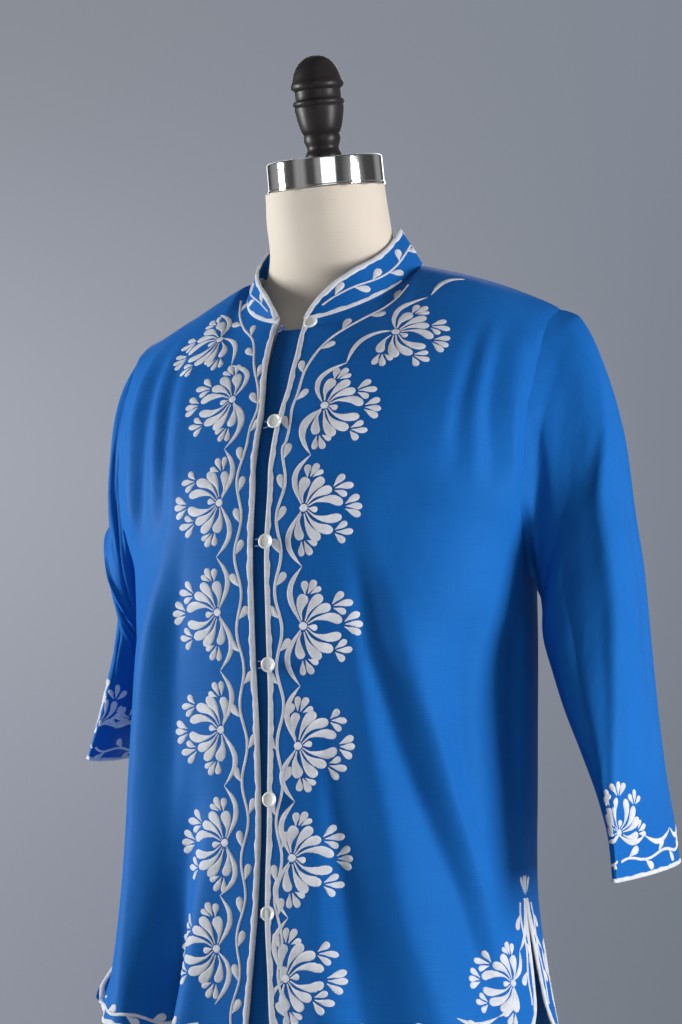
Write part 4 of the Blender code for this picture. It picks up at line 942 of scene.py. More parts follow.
# Underlap: a straight strip of the poplin sewn behind the left front's edge, which closes the
# opening between the fronts. It lies in their shade, and its poplin is a darker copy: painted shade.
UNDERLAP_X, UNDERLAP_SET_BACK = 0.016, 0.0032
panels = {side: HalfPanel("front", side) for side in (LEFT, RIGHT)}
rows = []
for level in np.linspace(0.02, 0.992, 90):
    step = panels[LEFT].smooth_row(level, np.array([0.0, 0.02]))
    share = 0.02 / abs(step[1, 0] - step[0, 0])
    rows.append([panels[LEFT if x >= 0 else RIGHT].smooth_row(level, np.array([abs(x) * share]))[0]
                 for x in np.linspace(-UNDERLAP_X, UNDERLAP_X, 9)])
strip_grid = np.array(rows)
strip_wall = normals_of(strip_grid, (0, -1, 0))
strip_grid = strip_grid - strip_wall * (WALL / 2 + UNDERLAP_SET_BACK)
rest_on(strip_grid, form, REST_ON_FORM / 2 + CLOTH)
# The underlap's poplin is the blue poplin darkened: painted shade, on top of the shadow the fronts cast on it.
painted_shade_poplin = poplin("poplin darkened as painted shade", (0.0095, 0.098, 0.350), (0.0080, 0.088, 0.320))
underlap = woven("underlap_cloth", strip_grid, strip_wall, painted_shade_poplin)
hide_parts("underlap")

# Corded edges: a soft cord laid on every raw edge and covered with close white satin stitches. It
# runs down the fronts, along the hem, up the slits, round the cuffs and round the collar.
EDGE_W, CUFF_EDGE_W = 0.0052, 0.0038
CORD_STEP = 0.0024

# Satin stitches: a relief of laid threads, and a mask of their grooves that paints shade between them.
stitches, stitches_in, stitches_out = effect(
    "satin stitches", [("Pitch", "NodeSocketFloat", 0.00055), ("Depth", "NodeSocketFloat", 0.00012)],
    [("Normal", "NodeSocketVector"), ("Painted groove shade", "NodeSocketFloat")])
place = add(stitches, "ShaderNodeUVMap", uv_map="thread")
split = add(stitches, "ShaderNodeSeparateXYZ", {"Vector": place.outputs["UV"]})
wander = worked_out(stitches, "MULTIPLY", noise(stitches, place.outputs["UV"], 420.0), 0.0009)
turn = worked_out(stitches, "ADD", split.outputs["X"], wander)
turn = worked_out(stitches, "DIVIDE", turn, stitches_in.outputs["Pitch"])
wave = worked_out(stitches, "SINE", worked_out(stitches, "MULTIPLY", turn, 2 * pi))
wave = add(stitches, "ShaderNodeMapRange", {"Value": wave, "From Min": -1.0, "From Max": 1.0})
lie = worked_out(stitches, "ADD", wave.outputs["Result"], noise(stitches, here(stitches), 700.0, 4.0, 0.7))
bumped(stitches, stitches_out, worked_out(stitches, "MULTIPLY", lie, stitches_in.outputs["Depth"]), 1.0, 1.0)
stitches.links.new(lie, stitches_out.inputs["Painted groove shade"])


def threads(name, tone, other, depth):
    """White thread lying side by side across a cord or a petal, with painted shade in the grooves between the threads
    and a painted highlight on their crests.
    """
    finish, tree, shader = material(name, 0.62, Sheen_Weight=0.12, Sheen_Roughness=0.4)
    drift = tinted(tree, shader, tone, other, 130.0)
    laid = tree.nodes.new("ShaderNodeGroup")
    laid.node_tree = stitches
    laid.inputs["Depth"].default_value = depth
    # Painted shade and highlight: the colour is darkened in the grooves between the threads and lightened on their
    # crests.
    ribbed(tree, shader, drift.outputs["Color"], laid.outputs["Painted groove shade"], 0.4, 1.5, 0.74, 1.08)
    tree.links.new(laid.outputs["Normal"], shader.inputs["Normal"])
    return finish


# The white is the thread's own colour. Its blue cast is painted bounce light from the blue cloth around it.
white = threads("white thread", (0.84, 0.865, 0.94), (0.72, 0.75, 0.83), 0.00022)
# Round the cord's section: how far in from the edge (share of its width), how far out
CORD_SECTION = ((1.00, -0.0002), (0.90, 0.0004), (0.70, 0.0009), (0.45, 0.0010), (0.20, 0.0008),
                (0.04, 0.0003), (-0.05, -0.0004), (-0.04, -0.0011), (0.06, -0.0016), (0.50, -0.0006))


def ribbon(rings, closed, thread_width):
    """A solid through rings of points, closed at its ends or round its loop, with thread along it."""
    rings = np.array(rings)
    count, sides = rings.shape[:2]
    run = travelled(rings.mean(axis=1))
    faces, marks = [], []
    for i in range(count if closed else count - 1):
        n = (i + 1) % count
        far = run[i + 1] if i + 1 < count else run[-1] + 0.001
        for k in range(sides):
            m = (k + 1) % sides
            faces.append((i * sides + k, i * sides + m, n * sides + m, n * sides + k))
            low, high = k / sides * thread_width, (k + 1) / sides * thread_width
            marks += [(run[i], low), (run[i], high), (far, high), (far, low)]
    if not closed:
        faces += [tuple(reversed(range(sides))), tuple(range((count - 1) * sides, count * sides))]
        marks += [(0, 0)] * (2 * sides)
    return rings.reshape(-1, 3), faces, marks


def stitched(name, parts):
    """One object of many ribbons of white thread."""
    points, faces, marks = [], [], []
    for more, joined, laid in parts:
        start = sum(len(p) for p in points)
        points.append(more)
        faces += [tuple(corner + start for corner in face) for face in joined]
        marks += laid
    mesh = bpy.data.meshes.new(name)
    mesh.from_pydata(np.concatenate(points).tolist(), [], faces)
    layer = mesh.uv_layers.new(name="thread")
    layer.data.foreach_set("uv", np.array(marks, np.float32).ravel())
    piece = bpy.data.objects.new(name, mesh)
    bpy.context.collection.objects.link(piece)
    alone(piece)
    bpy.ops.object.mode_set(mode="EDIT")
    bpy.ops.mesh.select_all(action="SELECT")
    bpy.ops.mesh.normals_make_consistent(inside=False)
    bpy.ops.object.mode_set(mode="OBJECT")
    bpy.ops.object.shade_smooth_by_angle(angle=radians(60))
    return settle(piece, name, white, "thread")


def corded(line, out, inner, width, closed=False):
    """The covered cord along an edge, lying on the side of the cloth that "inner" shows."""
    if closed:
        line, out, inner = (np.concatenate([a, a[:1]]) for a in (line, out, inner))
    inner = inner - line
    run = travelled(line)
    at = np.linspace(0, run[-1], int(round(run[-1] / CORD_STEP)) + 1)
    line, out, inner = (np.stack([np.interp(at, run, values[:, k]) for k in range(3)], 1)
                        for values in (line, out, inner))
    if closed:
        line, out, inner, at = line[:-1], out[:-1], inner[:-1], at[:-1]
    tangent = np.roll(line, -1, axis=0) - np.roll(line, 1, axis=0) if closed else np.gradient(line, axis=0)
    out = unit(out)
    toward = unit(np.cross(out, unit(tangent)))
    toward *= np.sign((toward * inner).sum(axis=1))[:, None]
    swell = 1 + 0.07 * np.sin(at / 0.0031) + 0.07 * np.sin(at / 0.0053 + 1) + 0.05 * np.sin(at / 0.0017 + 2)
    rings = [[line[k] + toward[k] * width * share * swell[k] + out[k] * rise * swell[k] for share, rise in CORD_SECTION]
             for k in range(len(line))]
    return ribbon(rings, closed, width)


def along_rim(name, cells, step):
    """Points, normals and inner points along the rim of a grid, from its (row, column) places."""
    (i, j), (down, aside) = np.array(cells).T, np.array(step).T
    return outers[name][i, j], walls[name][i, j], outers[name][i + down, j + aside]


def along_row(name, row, step):
    """The same for one whole row of a grid."""
    count = outers[name].shape[1]
    return along_rim(name, [(row, j) for j in range(count)], [(step, 0)] * count)


cords = {}
for name, opening, last in (("front_left", range(len(levels) - 1, 1, -1), COLUMNS),
                            ("front_right", range(len(levels) - 1, 1, -1), COLUMNS),
                            ("back", range(slit_row, 2, -1), 2 * COLUMNS)):
    hem, slit = range(2, last - 1), range(3, slit_row + 1)
    cells = [(i, 0) for i in opening] + [(0, j) for j in hem] + [(i, last) for i in slit]
    step = [(0, 1)] * len(opening) + [(1, 0)] * len(hem) + [(0, -1)] * len(slit)
    cords[name] = corded(*along_rim(name, cells, step), EDGE_W)
for name in ("sleeve_left", "sleeve_right"):
    cords[name] = corded(*along_row(name, SLEEVE_ROWS - 1, -2), CUFF_EDGE_W, closed=True)
line, out, inner = along_row("collar", 0, 2)
cords["collar_foot"] = corded(line + (inner - line) * 0.25, out, inner, EDGE_W * 1.1)
cords["collar_top"] = corded(*along_row("collar", COLLAR_ROWS - 1, -2), EDGE_W * 0.9)
edges = {name: stitched("edge_" + name + "_cord", [cord]) for name, cord in cords.items()}
for name, piece in edges.items():
    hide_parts("edge_" + name)

# Embroidery: flower heads, crescents and a leafy vine, worked in white satin stitch through the
# cloth before it was sewn up. Each petal, drop and leaf is a padded shape of threads laid across.
STITCH_H, STITCH_FOOT, STITCH_BACK = 0.00055, 0.0002, 0.0005  # above the cloth, then into it at the sides and middle
LEAF = 0.0128  # a leaf's length
WIDTHS = {  # share of the full width by share of the length
    "petal": ((0, 0.12), (0.2, 0.20), (0.42, 0.50), (0.62, 0.84), (0.80, 1.0), (0.92, 0.84), (0.98, 0.48), (1, 0.16)),
    "drop": ((0, 0.12), (0.2, 0.34), (0.45, 0.76), (0.70, 1.0), (0.87, 0.88), (0.97, 0.48), (1, 0.16)),
    "crescent": ((0, 0.16), (0.2, 0.66), (0.45, 1.0), (0.7, 0.82), (0.9, 0.36), (1, 0.08)),
    "vine": ((0, 0.8), (0.5, 1.0), (1, 0.8)),
    "knob": ((0, 0.2), (0.1, 0.62), (0.5, 1.0), (0.9, 0.62), (1, 0.2)),
}
# One flower head in millimetres from its hub: to the right is away from the edge
FLOWER = (
    ("petal", 11.6, ((-1, 4.6), (-2.4, 13), (-0.6, 21), (3, 26.5))),
    ("drop", 7.6, ((2.4, 27.4), (2.3, 33), (2.4, 38.8))),
    ("drop", 7.6, ((5.2, 27.8), (8.6, 33.4), (12, 39.2))),
    ("drop", 5.6, ((7.6, 27.4), (12.4, 30.4), (17.2, 32.4))),
    ("petal", 10.0, ((2.0, 4.2), (5, 12), (10.6, 20), (18, 25.6))),
    ("petal", 9.2, ((3.2, 3.0), (9, 9.6), (16.4, 14), (25.4, 16.4))),
    ("drop", 7.2, ((27, 18.4), (31.4, 23.6), (36.6, 28.2))),
    ("drop", 7.0, ((28.4, 16.8), (36, 18.6), (44.6, 19.4))),
    ("drop", 6.4, ((28, 14.6), (33.4, 12.8), (38.8, 10.4))),
    ("petal", 9.4, ((4.4, 1.8), (13, 6), (24, 7.2), (35.4, 3.2))),
    ("drop", 7.2, ((37.8, 3.0), (43.6, 7.0), (49.6, 10.0))),
    ("drop", 6.8, ((38.4, 0.6), (45, 1.0), (52.4, 0.4))),
    ("drop", 7.2, ((37.8, -1.6), (44.6, -4.6), (51, -7.4))),
    ("drop", 6.2, ((4.4, -0.4), (8.4, -1.2), (13, -2.2))),
    ("petal", 9.0, ((3.8, -2.2), (12, -8.4), (23, -10.6), (34.8, -8.4))),
    ("petal", 9.8, ((2.4, -3.8), (7.6, -12), (16, -18.2), (27.4, -20.8))),
    ("drop", 6.4, ((29.4, -20), (34.4, -16.6), (39.6, -13.2))),
    ("drop", 6.4, ((30.4, -21.6), (37.4, -21.8), (44.8, -20.6))),
    ("drop", 7.0, ((29.4, -23.4), (33.4, -27), (37.6, -30.6))),
    ("petal", 10.2, ((0.8, -5.2), (3.4, -14), (8.6, -22.4), (16, -28.4))),
    ("petal", 9.6, ((-1.8, -5.4), (-4.4, -13), (-4.0, -21), (-0.6, -28.2))),
    ("drop", 6.6, ((-0.6, -30), (-0.8, -36.4), (-0.2, -42.6))),
    ("drop", 7.2, ((2.0, -29.6), (5, -35.8), (8.6, -41.4))),
    ("drop", 5.8, ((4.4, -28.8), (9, -30.8), (13.6, -32.4))),
    ("knob", 7.8, ((-3.6, -0.3), (0, 0), (3.8, 0.3))),
)


class Skin:
    """The outer face of a sewn piece, to find where a stitch lies on it."""

    def __init__(self, name):
        self.grid = outers[name]
        rows, columns = self.grid.shape[:2]
        around = name.startswith("sleeve")
        faces = []
        for i in range(rows - 1):
            for j in range(columns if around else columns - 1):
                n = (j + 1) % columns
                faces.append((i * columns + j, i * columns + n, (i + 1) * columns + n, (i + 1) * columns + j))
        i, j = rows // 2, columns // 2
        a, b, c = self.grid[i, j], self.grid[i, j + 1], self.grid[i + 1, j]
        if np.cross(b - a, c - a) @ walls[name][i, j] < 0:
            faces = [face[::-1] for face in faces]
        self.tree = BVHTree.FromPolygons([Vector(p) for p in self.grid.reshape(-1, 3)], faces)
        self.parts = []

    def on(self, point):
        """The nearest place of the cloth, and which way is out there."""
        spot, out, _, _ = self.tree.find_nearest(Vector(point))
        return np.array(spot), np.array(out)

    def seen(self, start, way):
        """The first place of the cloth from a start point on, looking this way."""
        spot, out, _, _ = self.tree.ray_cast(Vector(start), Vector(way))
        return None if spot is None else (np.array(spot), np.array(out))

    def front(self, x, z):
        """The place of the cloth that is seen from in front at this x and z."""
        return self.seen((x, -0.5, z), (0, 1, 0))

    def stitch(self, kind, width, line, step=0.0016):
        """Threads laid across a line of points on the cloth."""
        line = np.array(line, float)
        run = travelled(line)
        if run[-1] < 1e-4:
            return
        fine = np.linspace(0, run[-1], max(9, int(run[-1] / step)))
        if kind in ("petal", "drop", "knob"):
            fine = run[-1] * (1 - np.cos(np.linspace(0, pi, 13 if kind == "petal" else 10))) / 2
        curve = smooth(run, line, fine)
        spots = [self.on(p) for p in curve]
        line, out = np.array([s for s, _ in spots]), unit(np.array([o for _, o in spots]))
        for _ in range(2):
            out[1:-1] = unit(out[:-2] + out[1:-1] * 2 + out[2:])
        side = unit(np.cross(out, np.gradient(line, axis=0)))
        half = width / 2 * read(WIDTHS[kind], fine / run[-1])
        rings = []
        for p, o, s, w in zip(line, out, side, half):
            left, right = self.on(p - s * w)[0], self.on(p + s * w)[0]
            rise = min(STITCH_H, w * 0.5)
            rings.append([left - o * STITCH_FOOT, left * 0.75 + p * 0.25 + o * rise * 0.55,
                          (left + p) / 2 + o * rise * 0.9, p + o * rise, (right + p) / 2 + o * rise * 0.9,
                          right * 0.75 + p * 0.25 + o * rise * 0.55, right - o * STITCH_FOOT, p - o * STITCH_BACK])
        self.parts.append(ribbon(rings, False, width))

    def flower(self, spot, out, turn, flip, mirror, size):
        """A flower head with its hub at a place, fanning to its own right unless mirrored."""
        up = np.array([0, 0, 1.0]) - out * out[2]
        up = up / np.linalg.norm(up)
        right = np.cross(up, out)
        c, s = cos(radians(turn)), sin(radians(turn))
        for kind, width, line in FLOWER:
            places = []
            for u, v in line:
                u, v = u * 0.001 * size, v * 0.001 * size * flip
                u, v = (u * c - v * s) * mirror, u * s + v * c
                at = spot + right * u + up * v
                seen = self.seen(at + out * 0.025, -out)
                places.append(seen[0] if seen and np.linalg.norm(seen[0] - at) < 0.03 else self.on(at)[0])
            self.stitch(kind, width * 0.001 * size, places)

    def crescent(self, width, start, end, bow, skew=0.5):
        """A crescent from one place to another, bowed to the left of its way by this much."""
        start, out = self.on(start)
        end, _ = self.on(end)
        way = end - start
        aside = unit(np.cross(out, way))
        at = np.linspace(0, 1, 9)
        hump = np.sin(pi * at ** (np.log(0.5) / np.log(skew)))
        self.stitch("crescent", width, [self.on(start + way * t + aside * bow * h)[0] for t, h in zip(at, hump)])

    def leaf(self, at, tangent, side):
        """A drop-shaped leaf on a short stem, from a place on a vine."""
        spot, out = self.on(at)
        ahead = unit(tangent) * LEAF
        aside = unit(np.cross(out, tangent)) * side * LEAF
        line = [self.on(spot + ahead * t + aside * 0.60 * t**0.7)[0] for t in (0.02, 0.3, 0.6, 0.85, 1.0)]
        self.stitch("drop", LEAF * 0.60, line)

    def vine(self, line, width=0.0031, leaves=0.028, first=0.010, side=1):
        """A thin line of stitches with leaves to its left and right in turn."""
        line = np.array(line)
        self.stitch("vine", width, line, step=0.003)
        run = travelled(line)
        at = first
        while at < run[-1] - 0.006:
            spot = smooth(run, line, [at])[0]
            ahead = smooth(run, line, [at + 0.002])[0]
            self.leaf(spot, ahead - spot, side)
            side = -side
            at += leaves


def from_rim(lines, places, away):
    """Points this far from a grid's rim: "lines" start on the rim and run away from it."""
    points = []
    for place, distance in zip(places, away):
        low = int(np.clip(np.floor(place), 0, len(lines) - 2))
        line = lines[low] + (lines[low + 1] - lines[low]) * (place - low)
        run = travelled(line)
        points.append([np.interp(distance, run, line[:, k]) for k in range(3)])
    return np.array(points)


def waving(lines, places, away, wave, length, phase=0.0):
    """A line that keeps this far from a rim and sways to both sides of that."""
    away = np.atleast_1d(away)
    run = travelled(from_rim(lines, places, np.full(len(places), float(np.mean(away)))))
    way = 1 if places[-1] > places[0] else -1
    kept = np.interp(places * way, np.linspace(places[0] * way, places[-1] * way, len(away)), away)
    return from_rim(lines, places, kept + wave * np.sin(2 * pi * run / length + phase))


skins = {name: Skin(name) for name in outers}
# Flower hubs on the fronts: x, z, turn, flip
HUBS = {
    "front_left": ((0.095, 0.835, -22, 1), (0.0495, 0.767, -6, 1), (0.040, 0.677, 0, 1), (0.0398, 0.5775, 0, 1),
                   (0.0345, 0.4775, 0, -1), (0.0325, 0.385, 0, 1), (0.0310, 0.287, 0, -1)),
    "front_right": ((-0.0815, 0.844, -22, 1), (-0.0440, 0.780, -4, 1), (-0.0420, 0.686, 0, -1),
                    (-0.0420, 0.5915, 0, 1), (-0.0400, 0.492, 0, -1), (-0.0340, 0.397, 0, 1), (-0.0385, 0.309, 0, 1)),
}
FLOWER_SIZE, CORNER_FLOWER_SIZE, CUFF_FLOWER_SIZE = 0.97, 0.84, 0.80
for name, mirror in (("front_left", 1), ("front_right", -1)):
    skin = skins[name]
    spots = []
    for x, z, turn, flip in HUBS[name]:
        spot, out = skin.front(x, z)
        spots.append(spot)
        skin.flower(spot, out, turn, flip, mirror, FLOWER_SIZE)
    below, above = np.array([0.002 * mirror, 0, 0.003]), np.array([0.002 * mirror, 0, -0.003])
    for upper, lower in zip(spots[1:], spots[2:]):
        cusp = upper + (lower - upper) * (0.66, 0.5, 0.5)
        skin.crescent(0.0058, upper - below, cusp, -0.0120 * mirror, 0.53)
        skin.crescent(0.0058, lower - above, cusp, 0.0105 * mirror, 0.53)
    skin.crescent(0.0058, spots[-1] - below, spots[-1] + np.array([0, 0, -0.046]), -0.012 * mirror, 0.42)

# Crescents round the neck: from (x, z) to (x, z), and how far they are bowed
NECK_CRESCENTS = {
    "front_left": (((0.047, 0.770), (0.0615, 0.806), 0.0145), ((0.092, 0.836), (0.0610, 0.805), -0.0125),
                   ((0.094, 0.838), (0.111, 0.870), 0.013), ((0.134, 0.889), (0.113, 0.872), -0.007),
                   ((0.047, 0.763), (0.040, 0.726), -0.012)),
    "front_right": (((-0.042, 0.783), (-0.056, 0.814), -0.0145), ((-0.079, 0.845), (-0.0555, 0.8135), 0.009),
                    ((-0.082, 0.847), (-0.096, 0.872), -0.009), ((-0.042, 0.776), (-0.0405, 0.736), 0.012)),
}
for name, lines in NECK_CRESCENTS.items():
    for (x1, z1), (x2, z2), bow in lines:
        one, other = skins[name].front(x1, z1), skins[name].front(x2, z2)
        if one and other:
            skins[name].crescent(0.0056, one[0], other[0], bow, 0.45)

# The vine beside each front edge climbs from the hem to the neckline and turns along it
NECK_VINES = {
    "front_left": ((0.0185, 0.735), (0.020, 0.750), (0.0195, 0.765), (0.022, 0.780), (0.023, 0.797), (0.026, 0.809),
                   (0.032, 0.823), (0.040, 0.834), (0.050, 0.843), (0.063, 0.853), (0.075, 0.862), (0.084, 0.873),
                   (0.088, 0.885)),
    "front_right": ((-0.0205, 0.735), (-0.020, 0.750), (-0.016, 0.769), (-0.019, 0.785), (-0.030, 0.810),
                    (-0.040, 0.836), (-0.058, 0.852), (-0.073, 0.869), (-0.083, 0.887)),
}
# How far the lower vine keeps from the edge, from the hem up
VINE_AWAY = {"front_left": (0.0135, 0.0120, 0.0115, 0.0120, 0.0140),
             "front_right": (0.0140, 0.0150, 0.0145, 0.0140, 0.0150)}
for name, side in (("front_left", 1), ("front_right", -1)):
    skin = skins[name]
    heights = skin.grid[:, 0, 2]
    places = np.interp(np.arange(0.246, 0.735, 0.005), heights, np.arange(len(heights)))
    lower = waving(skin.grid, places, VINE_AWAY[name], 0.0030, 0.064, 0.6)
    upper = [skin.front(x, z) for x, z in NECK_VINES[name]]
    skin.vine(np.concatenate([lower, [spot[0] for spot in upper if spot]]), side=side)


# Hems and slits: a vine round the lower corner, a flower head in it, a sprig over the slit
HUB_ROW, HUB_AWAY, CRESCENT_AWAY, LEAF_GAP = 21, 0.034, 0.0215, 0.024


def corner(skin, side_lines, hem_lines, hem_places, mirror, turn):
    """What is worked round one lower corner: its slit, its hem and the flower head between them."""
    slit_places = np.arange(slit_row - 1.0, 12, -1.0)
    skin.vine(waving(side_lines, slit_places, 0.0105, 0.0018, 0.050), side=-mirror, leaves=LEAF_GAP)
    skin.vine(waving(hem_lines, hem_places, 0.0125, 0.0020, 0.050), side=mirror, leaves=LEAF_GAP)
    apex, out = skin.on(side_lines[slit_row, 0])
    up = np.array([0, 0, 1.0])
    right = unit(np.cross(up, out))
    inward = np.sign(right @ (side_lines[slit_row, 6] - apex))
    for lean in (0.1, 1.0):
        start = apex + up * (0.0030 + 0.0022 * lean) + right * inward * (0.0008 + 0.0022 * lean)
        tip = start + up * (0.0165 - 0.0035 * lean) + right * inward * 0.0050 * lean
        skin.stitch("drop", 0.0042, [skin.on(start)[0], skin.on((start + tip) / 2)[0], skin.on(tip)[0]])
    spot, out = skin.on(from_rim(side_lines, [HUB_ROW], [HUB_AWAY])[0])
    skin.flower(spot, out, turn, 1, -mirror, CORNER_FLOWER_SIZE)
    low = from_rim(side_lines, [slit_row - 1.0], [0.0030])[0]
    mid = from_rim(side_lines, [HUB_ROW + 8.0], [HUB_AWAY * 0.62])[0]
    foot, far = (from_rim(hem_lines, [hem_places[k]], [CRESCENT_AWAY])[0] for k in (4, 14))
    skin.crescent(0.0056, low, mid, 0.0060 * mirror, 0.55)
    skin.crescent(0.0054, spot + up * 0.002, mid, -0.0050 * mirror)
    skin.crescent(0.0054, spot - up * 0.002, foot, 0.0070 * mirror)
    skin.crescent(0.0054, far, foot, -0.0060 * mirror)


for name, mirror, turn in (("front_left", 1, 8), ("front_right", -1, 24)):
    skin = skins[name]
    corner(skin, skin.grid[:, ::-1], skin.grid.transpose(1, 0, 2), np.arange(COLUMNS - 8.0, 8, -1.0), mirror, turn)
skin = skins["back"]
hem_lines = skin.grid.transpose(1, 0, 2)
corner(skin, skin.grid[:, ::-1], hem_lines, np.arange(2 * COLUMNS - 8.0, COLUMNS, -1.0), -1, 12)
corner(skin, skin.grid, hem_lines, np.arange(8.0, COLUMNS, 1.0), 1, 12)

# Cuffs: a vine and crescents round the sleeve, and a flower head that fans upward on its crease.
# The crescents meet at these shares of the way round from it.
CUSPS, CUSP_UP = (-0.24, -0.11, 0.11, 0.24, 0.37, 0.50, 0.63, 0.76), 0.034
VINE_STEP = 1.5  # columns of the sleeve
for name, side, centre, hub_up, vine_up in (("sleeve_left", LEFT, 0.320, 0.040, 0.0160),
                                            ("sleeve_right", RIGHT, 0.24, 0.036, 0.0120)):
    skin = skins[name]
    count = skin.grid.shape[1]
    ring = np.concatenate([skin.grid, skin.grid[:, :1]], axis=1)
    lines = ring[::-1].transpose(1, 0, 2)
    start = count * centre
    places = (start + np.arange(0, count - VINE_STEP, VINE_STEP)) % count
    around = from_rim(lines, places, vine_up + 0.0020 * np.sin(np.arange(len(places)) * 0.62))
    skin.vine(around, side=1, leaves=LEAF_GAP)
    spot, out = skin.on(from_rim(lines, [start], [hub_up])[0])
    skin.flower(spot, out, 90, 1, side, CUFF_FLOWER_SIZE)
    cusps = [from_rim(lines, [(start + way * count) % count], [CUSP_UP])[0] for way in CUSPS]
    below = spot - np.array([0, 0, 0.002])
    for one, other in zip(cusps[2:-1], cusps[3:]):
        skin.crescent(0.0050, one, other, -0.0080)
    skin.crescent(0.0050, cusps[0], cusps[1], -0.0080)
    skin.crescent(0.0050, below, cusps[2], -0.0060)
    skin.crescent(0.0050, cusps[1], below, -0.0060)

# Collar: one vine along its middle from each front end to the back
skin = skins["collar"]
wide = skin.grid.shape[1] - 1
lines = skin.grid.transpose(1, 0, 2)
reach = travelled(lines)[:, -1]
for places, side in ((np.arange(wide - 3.0, wide / 2, -1.0), 1), (np.arange(3.0, wide / 2, 1.0), -1)):
    full = np.interp(places, np.arange(wide + 1), reach)
    run = np.arange(len(places)) * 0.0032
    away = full * 0.48 + np.minimum(0.0022, full * 0.08) * np.sin(run / 0.0085)
    skin.vine(from_rim(lines, places, away), width=0.0022, leaves=0.019, first=0.014, side=side)

worked = {name: stitched(name + "_embroidery", skin.parts) for name, skin in skins.items()}

# Buttons: six round pearl buttons with a rolled rim and a dished middle, each on a short shank
# sewn to the left front's edge.
# Radius, height above the cloth's middle
BUTTON = ((0, 0.0010), (0.0014, 0.0012), (0.0014, 0.0046), (0.0050, 0.0047), (0.0061, 0.0052), (0.0065, 0.0059),
          (0.0064, 0.0067), (0.0060, 0.0073), (0.0055, 0.0075), (0.0050, 0.0073), (0.0045, 0.0068), (0.0038, 0.0066),
          (0.0018, 0.0065), (0, 0.0065))
BUTTON_H, FACE_DEPTH = 0.0074, 0.0012
pearl, tree, shader = material("pearl", 0.20, Coat_Weight=0.6, Coat_Roughness=0.06, Subsurface_Weight=0.08)
tinted(tree, shader, (0.80, 0.80, 0.76), (0.66, 0.69, 0.70), 210.0)
growth = add(tree, "ShaderNodeTexWave", {"Vector": here(tree), "Scale": 120.0, "Distortion": 6.0},
             wave_type="BANDS", bands_direction="DIAGONAL")
roughened(tree, shader, growth.outputs["Fac"], 0.14, 0.30)
for number in range(1, 7):
    node = "button_%d" % number
    solid = frame["nodes"][node]
    points = np.array([vertex.co for vertex in solid.data.vertices])
    low, high = (np.array(corner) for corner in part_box(node))
    _, out = skins["front_left"].on((low + high) / 2)
    level = points @ out
    piece = turned(BUTTON, 48)
    aim = Vector((0, 0, 1)).rotation_difference(Vector(out)).to_matrix().to_4x4()
    piece.data.transform(aim)
    centre = points[level > level.max() - FACE_DEPTH].mean(axis=0)
    at = centre - out * (centre @ out) + out * (level.max() - BUTTON_H)
    piece.data.transform(Matrix.Translation(Vector(at)))
    settle(piece, "pearl_" + node, pearl, "pearl", node)

# Loops: thin rolls of the poplin sewn into the right front's edge, five round a button's shank and
# the top one hanging free.
roll, tree, shader = material("rolled poplin", 0.60, Sheen_Weight=0.08)
tinted(tree, shader, (0.010, 0.100, 0.380), (0.008, 0.080, 0.330), 300.0)
bumped(tree, shader, noise(tree, here(tree), 1400.0), 0.0002, 0.5)
for number in range(1, 7):
    node = "loop_%d" % number
    settle(softened(node, 2, keep=70), "rolled_" + node, roll, "poplin", node)

# Studio: a pale floor, two soft lamps at the sides, weak ones in front and behind, and a grey room
# that lights the part less than the camera sees of it.
CAMERA_TURN, CAMERA_HEIGHT, CAMERA_PITCH, CAMERA_ROLL, CAMERA_YAW = 26.9, 0.411, -7.25, 0.3, -0.22
SENSOR, CAMERA_AWAY = 36, 2.2
CAMERA_LENS = 2473.0 / 1024 * SENSOR
FLOOR_R = 1.6
scene = bpy.context.scene
around_it = radians(CAMERA_TURN)
eye = np.array([sin(around_it) * CAMERA_AWAY, -cos(around_it) * CAMERA_AWAY, CAMERA_HEIGHT])
aimed = around_it + radians(CAMERA_YAW)
level_way = np.array([-sin(aimed), cos(aimed), 0.0])
right = np.array([cos(aimed), sin(aimed), 0.0])
pitch, roll_turn = radians(CAMERA_PITCH), radians(CAMERA_ROLL)
way = level_way * cos(pitch) - np.array([0, 0, 1.0]) * sin(pitch)
up = np.cross(right, way)
columns = (right * cos(roll_turn) + up * sin(roll_turn), -right * sin(roll_turn) + up * cos(roll_turn), -way)
camera = bpy.data.objects.new("camera", bpy.data.cameras.new("camera"))
camera.data.sensor_width = camera.data.sensor_height = SENSOR
camera.data.sensor_fit = "VERTICAL"
camera.data.lens = CAMERA_LENS
camera.matrix_world = Matrix([[*(column[k] for column in columns), eye[k]] for k in range(3)] + [[0, 0, 0, 1]])
scene.collection.objects.link(camera)
scene.camera = camera


def lamp(name, place, target, size, power, colour):
    """A large soft lamp that faces a point."""
    data = bpy.data.lights.new(name, "AREA")
    data.shape, data.size, data.size_y = "RECTANGLE", size[0], size[1]
    data.energy, data.color = power, colour
    thing = bpy.data.objects.new(name, data)
    thing.location = place
    thing.rotation_euler = (Vector(target) - Vector(place)).to_track_quat("-Z", "Y").to_euler()
    scene.collection.objects.link(thing)


lamp("right lamp", (2.10, -0.16, 0.75), (0.05, 0, 0.60), (0.5, 1.1), 49, (1.0, 0.99, 0.97))
lamp("left lamp", (-2.00, -0.72, 0.85), (0, 0, 0.60), (0.5, 1.1), 56, (0.99, 1.0, 0.98))
lamp("front lamp", (1.3, -2.1, 0.85), (0, 0, 0.60), (1.2, 1.2), 6, (1.0, 0.99, 0.97))
lamp("back lamp", (-0.8, 1.8, 1.6), (0, 0, 0.6), (1.4, 1.4), 14, (1.0, 0.99, 0.97))

bpy.ops.mesh.primitive_circle_add(vertices=96, radius=FLOOR_R, fill_type="NGON", location=(0, 0, -0.0005))
floor = bpy.context.object
floor.name = "floor"
floor_paint, tree, shader = material("pale floor", 0.7)
tinted(tree, shader, (0.50, 0.51, 0.53), (0.46, 0.47, 0.49), 2.0)
floor.data.materials.append(floor_paint)

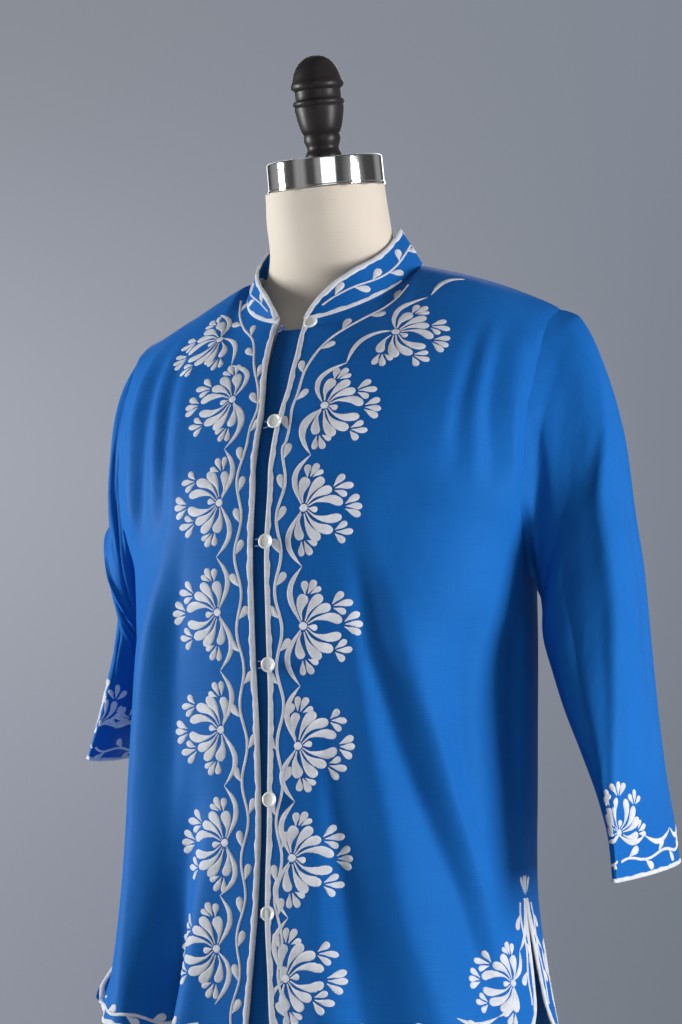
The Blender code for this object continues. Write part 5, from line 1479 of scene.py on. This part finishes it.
world = bpy.data.worlds.new("grey room")
world.use_nodes = True
scene.world = world
tree = world.node_tree
tree.nodes.clear()
place = add(tree, "ShaderNodeTexCoord").outputs["Generated"]
split = add(tree, "ShaderNodeSeparateXYZ", {"Vector": place})
height = add(tree, "ShaderNodeMapRange", {"Value": split.outputs["Z"], "From Min": -0.08, "From Max": 0.33})
aside = add(tree, "ShaderNodeVectorMath", {0: place, 1: (0.8935, 0.449, 0.0)}, operation="DOT_PRODUCT")
aside = add(tree, "ShaderNodeMapRange", {"Value": aside.outputs["Value"], "From Min": -0.138, "From Max": 0.138})
# Tones of the wall from low to high, on the picture's left and then its right
WALLS = (((0.275, 0.287, 0.347), (0.361, 0.381, 0.440), (0.254, 0.270, 0.309)),
         ((0.171, 0.195, 0.231), (0.212, 0.234, 0.278), (0.223, 0.246, 0.292)))
sides = []
for tones in WALLS:
    sweep = add(tree, "ShaderNodeValToRGB", {"Fac": height.outputs["Result"]})
    sweep.color_ramp.interpolation = "EASE"
    sweep.color_ramp.elements.new(0.55)
    for element, tone in zip(sweep.color_ramp.elements, tones):
        element.color = (*tone, 1)
    sides.append(sweep)
shade = add(tree, "ShaderNodeMix", {"Factor": aside.outputs["Result"]}, data_type="RGBA")
tree.links.new(sides[0].outputs["Color"], shade.inputs[6])
tree.links.new(sides[1].outputs["Color"], shade.inputs[7])
# What the room is for light and reflections: dimmer, with brighter and darker stretches of wall
room = add(tree, "ShaderNodeTexWave", {"Vector": place, "Scale": 0.42, "Distortion": 1.5, "Detail": 1.0},
           wave_type="BANDS", bands_direction="X")
room = add(tree, "ShaderNodeMapRange", {"Value": room.outputs["Fac"], "From Min": 0.2, "From Max": 0.8, "To Min": 0.06,
                                        "To Max": 0.28})
seen = add(tree, "ShaderNodeLightPath")
whole = add(tree, "ShaderNodeMix", {"Factor": seen.outputs["Is Camera Ray"]}, data_type="RGBA")
tree.links.new(room.outputs["Result"], whole.inputs[6])
tree.links.new(shade.outputs[2], whole.inputs[7])
backdrop = add(tree, "ShaderNodeBackground", {"Color": whole.outputs[2], "Strength": 1.0})
add(tree, "ShaderNodeOutputWorld", {"Surface": backdrop.outputs["Background"]})
scene.view_settings.view_transform = "Standard"
